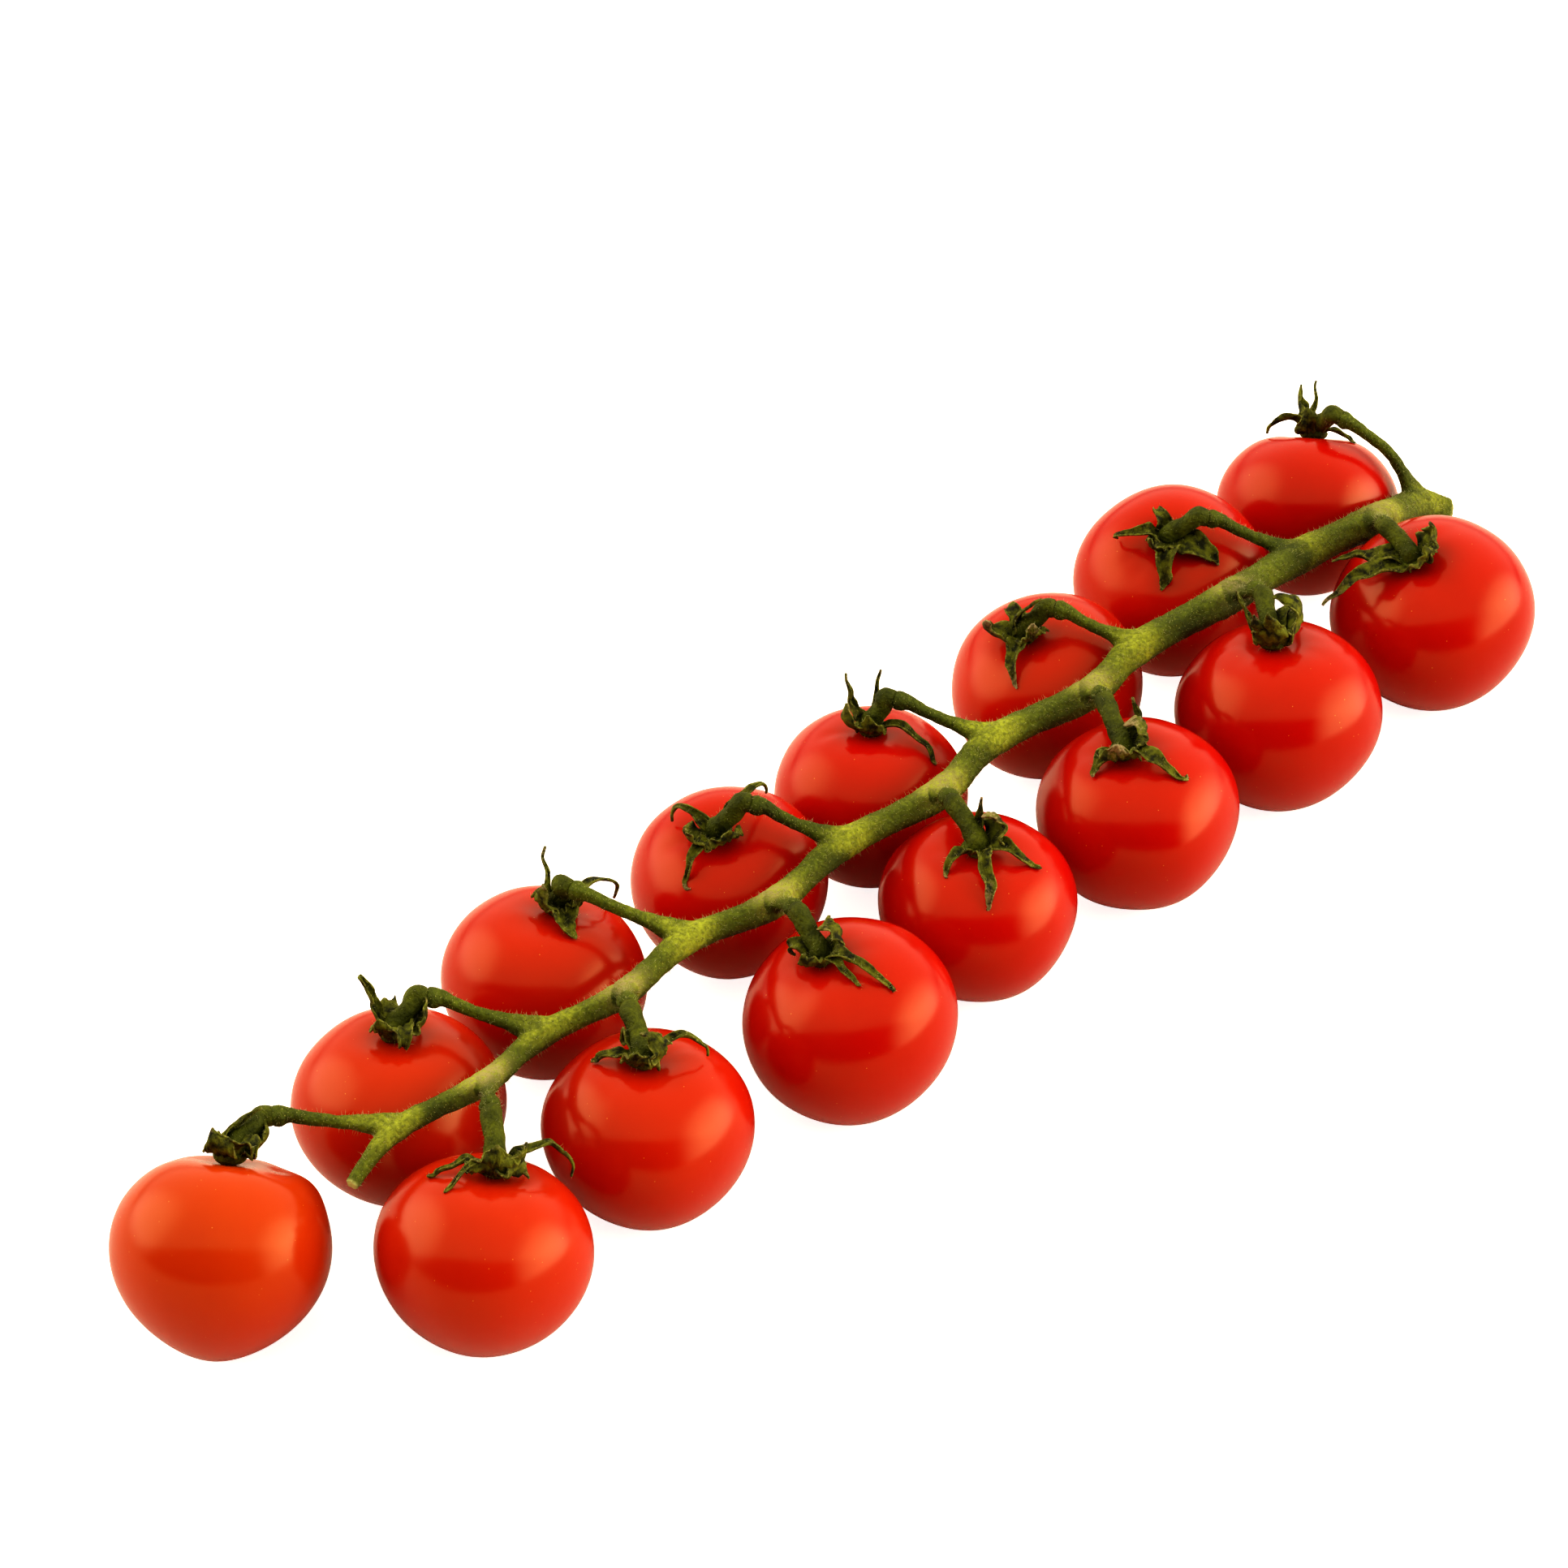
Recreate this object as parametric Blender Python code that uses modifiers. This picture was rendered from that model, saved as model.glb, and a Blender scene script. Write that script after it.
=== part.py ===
"""A truss of cherry tomatoes, picked from the plant and lying on a table.

A main stem runs along X, from its thin tip (-X) to the thick end where it was cut (+X). Short stalks leave
it by turns to the back (+Y) and to the front (-Y). Each stalk ends in a knuckle, and beyond the knuckle come
the calyx, with its dried and curled sepals, and the fruit. The table is the plane z = 0.

Places and sizes in the tables are in millimetres, and MM turns them into Blender's metres.
"""

import math
import random
from collections import namedtuple

import bmesh
import bpy
from mathutils import Matrix, Vector

MM = 0.001
UP = Vector((0, 0, 1))

# The middle of the whole truss in the tables' own x and y: the part stands centred on its origin.
MIDDLE = (-10.331, 0.122)

# One row for each fruit, from the tip to the cut end: where its middle stands on the table, how far across
# it is, how many degrees its stem end leans and towards which way round from +X, the knuckle of its stalk,
# how far the stalk bows out on its way there, and its sepals: form, way round from +X and length.
Fruit = namedtuple("Fruit", "x y across lean towards knuckle bow sepals")
FRUITS = (
    Fruit(-132.3, 9.6, 29.9, 35, 35, (-118.8, 13.4, 27.0), (0, 0, 0.3),
          (("curl", 133, 8), ("curl", -150, 8), ("curl", -85, 7), ("roll", -5, 8), ("hook", 70, 7))),
    Fruit(-108.1, -15.8, 29.4, 20, 19, (-99.2, -8.7, 29.0), (0, 0, 0.5),
          (("press", -125, 8), ("hook", -28, 11), ("trail", 160, 11), ("press", -165, 8), ("curl", 75, 7))),
    Fruit(-95.6, 14.4, 29.7, 5, 49, (-90.1, 13.6, 30.5), (0, 0, 0.3),
          (("stub", 112, 8), ("curl", -162, 9), ("curl", -95, 8), ("curl", -25, 7), ("roll", 60, 7))),
    Fruit(-75.0, -14.0, 29.4, 3, 83, (-71.1, -6.7, 29.0), (0, 0, 0.5),
          (("trail", 133, 9), ("curl", -50, 9), ("curl", -140, 10), ("curl", 12, 8), ("roll", 78, 7))),
    Fruit(-62.8, 19.4, 29.8, 13, -5, (-60.1, 16.0, 31.0), (0, 0, 0.3),
          (("spike", 85, 9), ("hook", -25, 10), ("curl", -160, 9), ("curl", -95, 8), ("curl", 150, 7))),
    Fruit(-39.2, -18.9, 30.9, 18, 139, (-40.8, -9.7, 30.0), (0, 0, 0.5),
          (("trail", -84, 14), ("trail", -108, 12), ("curl", -10, 8), ("curl", 120, 7), ("press", -165, 8))),
    Fruit(-27.6, 16.3, 29.4, 17, -165, (-28.3, 11.3, 31.0), (0, 0, 0.3),
          (("trail", -162, 10), ("hook", 15, 12), ("spike", 50, 8), ("curl", -95, 8), ("curl", 110, 8))),
    Fruit(-6.7, -14.1, 29.3, 6, -151, (-5.6, -7.5, 29.0), (0, 0, 0.5),
          (("trail", -124, 14), ("trail", -82, 11), ("spike", 30, 9), ("press", 165, 8), ("curl", 100, 7))),
    Fruit(2.2, 15.6, 29.4, 4, 48, (5.1, 13.7, 31.0), (0, 0, 0.3),
          (("spike", 40, 11), ("spike", -12, 8), ("rise", 118, 8), ("trail", -78, 12), ("curl", -150, 8))),
    Fruit(26.2, -17.0, 30.6, 12, 149, (29.0, -6.9, 29.0), (0, 0, 0.5),
          (("trail", -93, 14), ("curl", -140, 8), ("hook", 0, 8), ("press", 165, 8), ("curl", 95, 7))),
    Fruit(41.8, 14.4, 30.4, 21, 165, (39.4, 11.9, 31.0), (0, 0, 0.3),
          (("hook", 145, 11), ("hook", -165, 13), ("curl", -110, 8), ("press", -40, 7), ("curl", 80, 7))),
    Fruit(60.2, -16.8, 31.7, 8, 99, (64.7, -8.0, 31.0), (0, 0, 0.5),
          (("rise", 105, 13), ("roll", 15, 10), ("roll", -55, 9), ("curl", -130, 9), ("roll", 170, 9))),
    Fruit(77.0, 18.6, 31.5, 24, -152, (75.2, 11.1, 31.0), (0, 0, 0.3),
          (("hook", 135, 10), ("trail", -140, 12), ("trail", -112, 11), ("curl", -40, 7), ("curl", 70, 8))),
    Fruit(98.4, -17.7, 32.2, 23, 163, (94.6, -9.5, 29.5), (0, 0, 0.5),
          (("trail", 126, 15), ("trail", 172, 16), ("curl", -40, 9), ("roll", 30, 8), ("press", -120, 8))),
    Fruit(109.1, 16.4, 29.7, 32, 36, (112.8, 14.1, 31.0), (1.6, -1.4, 1.2),
          (("rise", 100, 10), ("hook", 55, 8), ("spike", 15, 13), ("spike", -30, 10), ("trail", -85, 10))),
)

# The main stem's middle line and radius (x, y, z, r), tip first. A stalk leaves it at every point but the
# first and the last, for the fruits in the order of the table above.
STEM = (
    (-118.7, -2.0, 24.0, 0.95),
    (-108.6, -0.3, 26.4, 1.35),
    (-93.3, -1.3, 25.8, 1.50),
    (-81.4, 0.2, 26.0, 1.60),
    (-67.0, -1.3, 25.6, 1.70),
    (-52.8, 0.2, 26.1, 1.80),
    (-36.8, -1.3, 24.3, 1.90),
    (-20.9, 0.2, 25.1, 1.95),
    (-1.2, -1.3, 24.6, 2.05),
    (11.8, 0.2, 26.4, 2.10),
    (32.7, -1.3, 25.2, 2.15),
    (45.5, 0.2, 26.2, 2.25),
    (66.0, -1.3, 26.2, 2.35),
    (85.0, 0.2, 23.7, 2.45),
    (105.0, -0.4, 21.4, 2.45),
    (117.8, 1.0, 17.5, 2.50),
    (123.0, -0.8, 14.5, 2.75),
)
STEM_STATIONS = 2        # rings of the tube between two points of the stem
NODE_SWELL = 1.16        # how much the stem thickens where a stalk leaves it

STALK_ROOT = 1.55        # radius of a stalk where it leaves the stem
STALK_SHANK = 0.95
STALK_SHOULDER = 1.1     # the stalk just before its knuckle
KNUCKLE = 1.55
KNUCKLE_GROOVE = 1.15
KNUCKLE_REACH = 2.3      # length of the swelling before the groove
STALK_STATIONS = 3
JOINT_GAP = 0.35         # left between stem and calyx at the knuckle's groove
NECK = 1.3               # radius of the stalk between the knuckle and the calyx
NECK_FLARE = 1.45
NECK_RISE = 1.4          # how far from the knuckle's groove the neck runs straight
NECK_STAND = 0.9         # the neck comes down on the receptacle along the fruit's axis from this height
NECK_BOW = 0.6           # how far it bows out along that axis on its way
STEM_SIDES = 8
STALK_SIDES = 6

# A fruit is a sphere of 1 reshaped by these shares of its radius.
HEIGHT = 0.92            # half its height
WIDEST = 0.07            # how far its widest place moves towards the stem end
DIMPLE = 0.125           # depth of the hollow that the calyx sits in
DIMPLE_SPREAD = 0.33     # reach of that hollow, in radians from the stem end
NOSE = 0.05              # the first fruit's point at its blossom end
NOSE_POINTED = 8         # the higher, the narrower that point
LOBES = 0.014            # how far the faint ribs stand out
LOBE_COUNTS = (3, 4, 5)
SKIN_STEPS = 60          # steps of the outline from the stem end to the widest place
SEGMENTS = 20
RINGS = 12
RING_CROWDING = 1.3      # above 1 the rings crowd towards the stem end
FLAT_SPOT = 0.45         # depth of the small flat that each fruit rests on

RECEPTACLE = 2.3         # radius of the green disc that the sepals grow from
RECEPTACLE_HALF = 0.75   # half its height
RECEPTACLE_SEAT = 1.6    # how far out its underside comes nearest the dimple
SKIN_GAP = 0.45          # clear space between the calyx and the fruit
SEPAL_THICK = 0.68
SEPAL_HALF_WIDTH = 1.25
SEPAL_WIDTHS = (0.85, 1.1)
SEPAL_ROOT_WIDTH = 0.62  # width at the root, as a share of the widest place
SEPAL_TAPER = 1.8
SEPAL_TIP = 0.32         # half width left at a sepal's tip
STUB_TIP = 0.88          # the same for a broken one
SHORT_SEPAL = 9.5        # sepals shorter than this are bent at fewer places
SEPAL_STATIONS = (5, 6)
SEPAL_ROOT = 1.6         # a sepal starts this far from the middle, sunk in the receptacle
SEPAL_SWEEP = 14         # how many degrees a sepal may swing sideways by its tip
SEPAL_TWIST = 26         # how many degrees a sepal may twist by its tip
LYING_TWIST = 5          # the same for one that lies along the skin
LYING = ("trail", "press")
# How each form of sepal climbs from the plane of its calyx: the angle it starts at, the angle it ends at,
# and how late along its length it turns.
SEPAL_FORMS = {
    "spike": (48, 84, 0.8),
    "rise": (28, 62, 1.0),
    "stub": (62, 70, 1.0),
    "trail": (30, -75, 0.8),
    "press": (22, -60, 0.8),
    "hook": (62, -80, 1.2),
    "curl": (70, -155, 1.9),
    "roll": (22, 185, 1.6),
}
SEED = 15
SHARP_EDGE = 50          # edges sharper than this many degrees are shaded sharp
WELD = 0.01

FRUIT_RED = (0.60, 0.022, 0.008, 1)
FRUIT_ORANGE = (0.66, 0.075, 0.018, 1)
CALYX_GREEN = (0.085, 0.110, 0.028, 1)
STEM_GREEN = (0.235, 0.290, 0.050, 1)
UNRIPE_FRUITS = 5        # the first few fruits from the tip ripen from orange to red
SKIN_ROUGHNESS = 0.22
LEAF_ROUGHNESS = 0.7


def clear_scene():
    for old in list(bpy.data.objects):
        bpy.data.objects.remove(old, do_unlink=True)


def new_collection(name):
    group = bpy.data.collections.new(name)
    bpy.context.scene.collection.children.link(group)
    return group


def material(name, colour, roughness):
    made = bpy.data.materials.new(name)
    made.use_nodes = True
    shader = made.node_tree.nodes["Principled BSDF"]
    shader.inputs["Base Color"].default_value = colour
    shader.inputs["Roughness"].default_value = roughness
    shader.inputs["Metallic"].default_value = 0.0
    return made


def smooth_line(points, stations):
    """A Catmull-Rom curve through the points, with so many stations from one point to the next."""
    ends = [points[0] * 2 - points[1], *points, points[-1] * 2 - points[-2]]
    line = []
    for before, start, end, after in zip(ends, ends[1:], ends[2:], ends[3:]):
        for step in range(stations):
            t = step / stations
            line.append(0.5 * (2 * start + (end - before) * t
                               + (2 * before - 5 * start + 4 * end - after) * t ** 2
                               + (3 * start - before - 3 * end + after) * t ** 3))
    line.append(points[-1].copy())
    return line


def tube(name, line, radii, sides):
    """A closed mesh tube along a line."""
    data = bpy.data.curves.new(name, "CURVE")
    data.dimensions = "3D"
    data.bevel_depth = MM
    data.bevel_resolution = (sides - 4) // 2
    data.use_fill_caps = True
    spline = data.splines.new("POLY")
    spline.points.add(len(line) - 1)
    for point, place, radius in zip(spline.points, line, radii):
        point.co = (*(place * MM), 1)
        point.radius = radius
    curve = bpy.data.objects.new(name, data)
    bpy.context.scene.collection.objects.link(curve)
    return to_mesh(curve)


def to_mesh(source):
    """The source object as a plain mesh object with its modifiers applied and its loose caps welded."""
    graph = bpy.context.evaluated_depsgraph_get()
    graph.update()
    mesh = bpy.data.meshes.new_from_object(source.evaluated_get(graph))
    shape = bmesh.new()
    shape.from_mesh(mesh)
    bmesh.ops.remove_doubles(shape, verts=shape.verts, dist=WELD * MM)
    bmesh.ops.recalc_face_normals(shape, faces=shape.faces)
    shape.to_mesh(mesh)
    shape.free()
    made = bpy.data.objects.new(source.name + "_mesh", mesh)
    made.matrix_world = source.matrix_world
    bpy.context.scene.collection.objects.link(made)
    bpy.data.objects.remove(source, do_unlink=True)
    return made


def is_closed(mesh):
    shape = bmesh.new()
    shape.from_mesh(mesh)
    closed = len(shape.faces) > 0 and all(edge.is_manifold for edge in shape.edges)
    shape.free()
    return closed


def fuse(name, pieces):
    """One mesh from pieces that cross each other, which are then removed."""
    operands = new_collection(name + "_operands")
    base, *others = pieces
    for piece in others:
        operands.objects.link(piece)
        piece.hide_render = True
        piece.display_type = "WIRE"
    union = base.modifiers.new("union", "BOOLEAN")
    union.operation = "UNION"
    union.operand_type = "COLLECTION"
    union.collection = operands
    for solver in ("EXACT", "MANIFOLD"):
        union.solver = solver
        graph = bpy.context.evaluated_depsgraph_get()
        graph.update()
        mesh = bpy.data.meshes.new_from_object(base.evaluated_get(graph))
        if is_closed(mesh):
            break
    mesh.name = name
    for piece in pieces:
        bpy.data.objects.remove(piece, do_unlink=True)
    bpy.data.collections.remove(operands)
    return mesh


def place_part(name, mesh, place, finish, parts, truss):
    mesh.materials.clear()
    mesh.materials.append(finish)
    mesh.shade_smooth()
    mesh.set_sharp_from_angle(angle=math.radians(SHARP_EDGE))
    part = bpy.data.objects.new(name, mesh)
    part.location = place * MM
    part.parent = truss
    parts.objects.link(part)
    return part


def fruit_turn(fruit):
    """The rotation that leans an upright fruit."""
    lean = Matrix.Rotation(math.radians(fruit.lean), 3, "Y")
    return Matrix.Rotation(math.radians(fruit.towards), 3, "Z") @ lean


def skin(angle, nose=0):
    """The fruit's outline as shares of its radius: distance from its axis, and height, at an angle from the
    stem end."""
    out = math.sin(angle) * (1 + WIDEST * math.cos(angle)) / (1 + WIDEST ** 2)
    high = HEIGHT * math.cos(angle) - DIMPLE * math.exp(-((angle / DIMPLE_SPREAD) ** 2))
    high -= nose * max(0, -math.cos(angle)) ** NOSE_POINTED
    return out, high


def skin_height(out, radius):
    """How high the skin stands over the bottom of the dimple, so far out from the fruit's axis."""
    lowest = skin(0)[1]
    inner, below = skin(0)
    for step in range(1, SKIN_STEPS + 1):
        outer, above = skin(math.pi / 2 * step / SKIN_STEPS)
        if outer * radius >= out:
            share = (out / radius - inner) / (outer - inner)
            return (below + (above - below) * share - lowest) * radius
        inner, below = outer, above
    return -out


def resting_height(fruit, nose):
    """How high the middle of a fruit stands, once its lowest place is pressed flat on the table."""
    lean = math.radians(fruit.lean)
    drops = []
    for step in range(SKIN_STEPS + 1):
        out, high = skin(math.pi / 2 * (1 + step / SKIN_STEPS), nose)
        drops.append(out * math.sin(lean) - high * math.cos(lean))
    return max(drops) * fruit.across / 2 - FLAT_SPOT


def fruit_mesh(name, fruit, chance, nose, middle):
    """A fruit leant over, and cut to a small flat spot where it meets the table, so far below its middle."""
    radius = fruit.across / 2
    lobes = chance.choice(LOBE_COUNTS)
    phase = chance.uniform(0, math.tau)
    leaning = fruit_turn(fruit)
    shape = bmesh.new()
    bmesh.ops.create_uvsphere(shape, u_segments=SEGMENTS, v_segments=RINGS, radius=1)
    for vertex in shape.verts:
        share = math.acos(max(-1, min(1, vertex.co.z))) / math.pi
        angle = math.pi * share ** RING_CROWDING
        around = math.atan2(vertex.co.y, vertex.co.x)
        out, high = skin(angle, nose)
        out *= 1 + LOBES * math.cos(lobes * around + phase) * math.sin(angle)
        vertex.co = leaning @ Vector((out * math.cos(around), out * math.sin(around), high)) * radius
    bmesh.ops.bisect_plane(shape, geom=shape.verts[:] + shape.edges[:] + shape.faces[:],
                           plane_co=(0, 0, -middle), plane_no=(0, 0, -1), clear_outer=True)
    bmesh.ops.holes_fill(shape, edges=[edge for edge in shape.edges if edge.is_boundary])
    bmesh.ops.scale(shape, vec=(MM, MM, MM), verts=shape.verts)
    bmesh.ops.recalc_face_normals(shape, faces=shape.faces)
    mesh = bpy.data.meshes.new(name)
    shape.to_mesh(mesh)
    shape.free()
    return mesh


def stalk_line(fruit, root, pole):
    """The stalk's middle line from the stem to the knuckle, the line from there to the receptacle, and the
    way it runs at the knuckle."""
    knuckle = Vector(fruit.knuckle)
    axis = fruit_turn(fruit) @ UP
    seat = pole + axis * seat_height(fruit.across / 2)
    top = seat + axis * NECK_STAND
    bend = (root + knuckle) / 2 + Vector(fruit.bow)
    low = top.lerp(knuckle, 0.5) + axis * NECK_BOW
    line = smooth_line([root, bend, knuckle, low, top], STALK_STATIONS)
    middle = 2 * STALK_STATIONS
    way = (line[middle + 1] - line[middle - 1]).normalized()
    return line[:middle + 1], [knuckle, low, line[-2], top, seat], way


def main_stem():
    points = [Vector(row[:3]) for row in STEM]
    line = smooth_line(points, STEM_STATIONS)
    radii = []
    for number in range(len(line)):
        row, step = divmod(number, STEM_STATIONS)
        here = STEM[row][3]
        if step:
            radii.append(here + (STEM[row + 1][3] - here) * step / STEM_STATIONS)
        else:
            radii.append(here * (NODE_SWELL if 0 < row < len(STEM) - 1 else 1))
    return tube("main_stem", line, radii, STEM_SIDES)


def stalk(number, line, way):
    """A stalk that starts inside the main stem and ends in its knuckle."""
    groove = line[-1]
    line = [*line[:-2], groove - way * KNUCKLE_REACH, groove - way * KNUCKLE_REACH / 2, groove]
    radii = [STALK_ROOT, (STALK_ROOT + STALK_SHANK) / 2, *[STALK_SHANK] * (len(line) - 5),
             STALK_SHOULDER, KNUCKLE, KNUCKLE_GROOVE]
    return tube(f"stalk_{number:02d}", line, radii, STALK_SIDES)


def neck(number, line, way, pole):
    """The short stalk from the far side of the knuckle's groove to the middle of the receptacle."""
    line = [line[0] + way * JOINT_GAP, line[0] + way * NECK_RISE, *line[1:]]
    last = len(line) - 1
    radii = [NECK + (NECK_FLARE - NECK) * (place / last) ** 2 for place in range(last + 1)]
    radii[0] = KNUCKLE_GROOVE
    return tube(f"neck_{number:02d}", [point - pole for point in line], radii, STALK_SIDES)


def seat_height(radius):
    """How high the middle of the receptacle stands over the bottom of the dimple."""
    return skin_height(RECEPTACLE_SEAT, radius) + SKIN_GAP + RECEPTACLE_HALF


def receptacle(number, fruit):
    """The flat green disc at the bottom of the dimple."""
    shape = bmesh.new()
    bmesh.ops.create_uvsphere(shape, u_segments=8, v_segments=4, radius=1)
    seat = seat_height(fruit.across / 2)
    for vertex in shape.verts:
        ball = vertex.co
        disc = Vector((ball.x * RECEPTACLE, ball.y * RECEPTACLE, ball.z * RECEPTACLE_HALF + seat))
        vertex.co = fruit_turn(fruit) @ disc * MM
    mesh = bpy.data.meshes.new("receptacle")
    shape.to_mesh(mesh)
    shape.free()
    made = bpy.data.objects.new(f"receptacle_{number:02d}", mesh)
    bpy.context.scene.collection.objects.link(made)
    return made


def sepal_line(form, length, radius):
    """A sepal's course out from the calyx and up, kept clear over the skin: pairs of distance and height."""
    start, end, late = SEPAL_FORMS[form]
    stations = SEPAL_STATIONS[length > SHORT_SEPAL]
    step = length / stations
    out = SEPAL_ROOT
    floor = SKIN_GAP + SEPAL_THICK / 2
    high = seat_height(radius)
    line = [(out, high)]
    for station in range(stations):
        climb = math.radians(start + (end - start) * ((station + 0.5) / stations) ** late)
        out += step * math.cos(climb)
        high += step * math.sin(climb)
        high = max(high, skin_height(abs(out), radius) + floor)
        line.append((out, high))
    return line


def sepal(name, form, way, length, fruit, chance):
    """One sepal: a grid bent along its course, narrowed to its tip, twisted, and thickened."""
    line = sepal_line(form, length, fruit.across / 2)
    stations = len(line) - 1
    sweep = math.radians(chance.uniform(-SEPAL_SWEEP, SEPAL_SWEEP))
    twist = math.radians(chance.uniform(-1, 1) * (LYING_TWIST if form in LYING else SEPAL_TWIST))
    width = SEPAL_HALF_WIDTH * chance.uniform(*SEPAL_WIDTHS)
    tip = STUB_TIP if form == "stub" else SEPAL_TIP
    leaning = fruit_turn(fruit)
    base = math.radians(way - fruit.towards)
    shape = bmesh.new()
    bmesh.ops.create_grid(shape, x_segments=1, y_segments=stations, size=1)
    for vertex in shape.verts:
        along = (vertex.co.y + 1) / 2
        out, high = line[round(along * stations)]
        angle = base + sweep * along ** 2
        radial = Vector((math.cos(angle), math.sin(angle), 0))
        across = Matrix.Rotation(twist * along, 3, radial) @ Vector((-radial.y, radial.x, 0))
        opened = math.sin(math.pi * min(0.5, 2 * along))
        spread = SEPAL_ROOT_WIDTH + (1 - SEPAL_ROOT_WIDTH) * opened
        half = tip + (width * spread - tip) * (1 - along ** SEPAL_TAPER)
        local = radial * out + UP * high + across * (half * vertex.co.x)
        vertex.co = leaning @ local * MM
    bmesh.ops.triangulate(shape, faces=shape.faces)
    mesh = bpy.data.meshes.new(name)
    shape.to_mesh(mesh)
    shape.free()
    made = bpy.data.objects.new(name, mesh)
    bpy.context.scene.collection.objects.link(made)
    thick = made.modifiers.new("thickness", "SOLIDIFY")
    thick.thickness = SEPAL_THICK * MM
    thick.offset = 0
    return to_mesh(made)


def make_truss():
    clear_scene()
    parts = new_collection("truss_of_tomatoes")
    truss = bpy.data.objects.new("truss", None)
    truss.location = (-MIDDLE[0] * MM, -MIDDLE[1] * MM, 0)
    parts.objects.link(truss)
    chance = random.Random(SEED)
    stem_pieces = [main_stem()]
    for number, fruit in enumerate(FRUITS, 1):
        nose = NOSE if number == 1 else 0
        ripe = min(1, (number - 1) / UNRIPE_FRUITS)
        colour = [pale + (red - pale) * ripe for pale, red in zip(FRUIT_ORANGE, FRUIT_RED)]
        middle = resting_height(fruit, nose)
        mesh = fruit_mesh(f"tomato_{number:02d}", fruit, chance, nose, middle)
        centre = Vector((fruit.x, fruit.y, middle))
        pole = centre + fruit_turn(fruit) @ UP * skin(0)[1] * fruit.across / 2
        skin_finish = material(f"tomato_skin_{number:02d}", colour, SKIN_ROUGHNESS)
        place_part(mesh.name, mesh, centre, skin_finish, parts, truss)

        inner, outer, way = stalk_line(fruit, Vector(STEM[number][:3]), pole)
        stem_pieces.append(stalk(number, inner, way))
        calyx = [neck(number, outer, way, pole), receptacle(number, fruit)]
        for form, way, length in fruit.sepals:
            calyx.append(sepal(f"sepal_{len(calyx)}", form, way, length, fruit, chance))
        calyx_finish = material(f"calyx_green_{number:02d}", CALYX_GREEN, LEAF_ROUGHNESS)
        place_part(f"calyx_{number:02d}", fuse("calyx", calyx), pole, calyx_finish, parts, truss)
    stem_finish = material("stem_green", STEM_GREEN, LEAF_ROUGHNESS)
    place_part("stem", fuse("stem", stem_pieces), Vector(), stem_finish, parts, truss)


make_truss()
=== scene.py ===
"""The looks of a truss of cherry tomatoes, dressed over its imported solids.

The truss lies on a pale table with its main stem along X, from its thin tip (-X) to its cut end (+X). Its
tables are in millimetres, in the truss's own x and y, and MIDDLE and MM turn them into the frame's metres.
"""

import math
import random
from collections import namedtuple

import bmesh
import bpy
from mathutils import Matrix, Vector, noise
from mathutils.kdtree import KDTree


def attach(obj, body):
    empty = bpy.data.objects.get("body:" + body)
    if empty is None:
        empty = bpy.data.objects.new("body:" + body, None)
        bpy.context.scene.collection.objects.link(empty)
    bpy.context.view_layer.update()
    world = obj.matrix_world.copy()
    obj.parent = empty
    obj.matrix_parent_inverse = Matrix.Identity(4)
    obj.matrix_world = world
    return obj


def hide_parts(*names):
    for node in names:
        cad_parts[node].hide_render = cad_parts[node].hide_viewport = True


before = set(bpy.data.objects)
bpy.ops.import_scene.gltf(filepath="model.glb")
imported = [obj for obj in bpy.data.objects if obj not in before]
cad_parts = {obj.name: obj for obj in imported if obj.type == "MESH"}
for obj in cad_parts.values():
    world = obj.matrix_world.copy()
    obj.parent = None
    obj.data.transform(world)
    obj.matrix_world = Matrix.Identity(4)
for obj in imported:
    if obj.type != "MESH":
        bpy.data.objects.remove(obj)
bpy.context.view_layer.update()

# The fruits. Each is a ripe cherry tomato, one body of flesh that grew under a thin glossy skin, round with a
# hollow at its stem end, faint ribs and small creases in its shoulders. The first ones from the tip of the
# truss are still a little orange. Each lies on the table with its own weight on a small flat spot.

MM = 0.001
UP = Vector((0, 0, 1))
MIDDLE = Vector((-10.331, 0.122, 0))

# Where each fruit's middle stands, how far across it is, how many degrees its stem end leans and which way
# round from +X, from the tip of the truss to its cut end.
Fruit = namedtuple("Fruit", "x y across lean towards")
FRUITS = (
    Fruit(-132.3, 9.6, 29.9, 35, 35),
    Fruit(-108.1, -15.8, 29.4, 20, 19),
    Fruit(-95.6, 14.4, 29.7, 5, 49),
    Fruit(-75.0, -14.0, 29.4, 3, 83),
    Fruit(-62.8, 19.4, 29.8, 13, -5),
    Fruit(-39.2, -18.9, 30.9, 18, 139),
    Fruit(-27.6, 16.3, 29.4, 17, -165),
    Fruit(-6.7, -14.1, 29.3, 6, -151),
    Fruit(2.2, 15.6, 29.4, 4, 48),
    Fruit(26.2, -17.0, 30.6, 12, 149),
    Fruit(41.8, 14.4, 30.4, 21, 165),
    Fruit(60.2, -16.8, 31.7, 8, 99),
    Fruit(77.0, 18.6, 31.5, 24, -152),
    Fruit(98.4, -17.7, 32.2, 23, 163),
    Fruit(109.1, 16.4, 29.7, 32, 36),
)

# A fruit is a sphere of 1 reshaped by these shares of its radius, as its solid is.
HEIGHT = 0.92
WIDEST = 0.07
DIMPLE = 0.125
DIMPLE_SPREAD = 0.33
NOSE = 0.05
NOSE_POINTED = 8
LOBES = 0.014
LOBE_COUNTS = (3, 4, 5)
OUTLINE_STEPS = 60
RING_CROWDING = 1.3
FLAT_SPOT = 0.45
SEED = 15
SEPALS = 5

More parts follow.
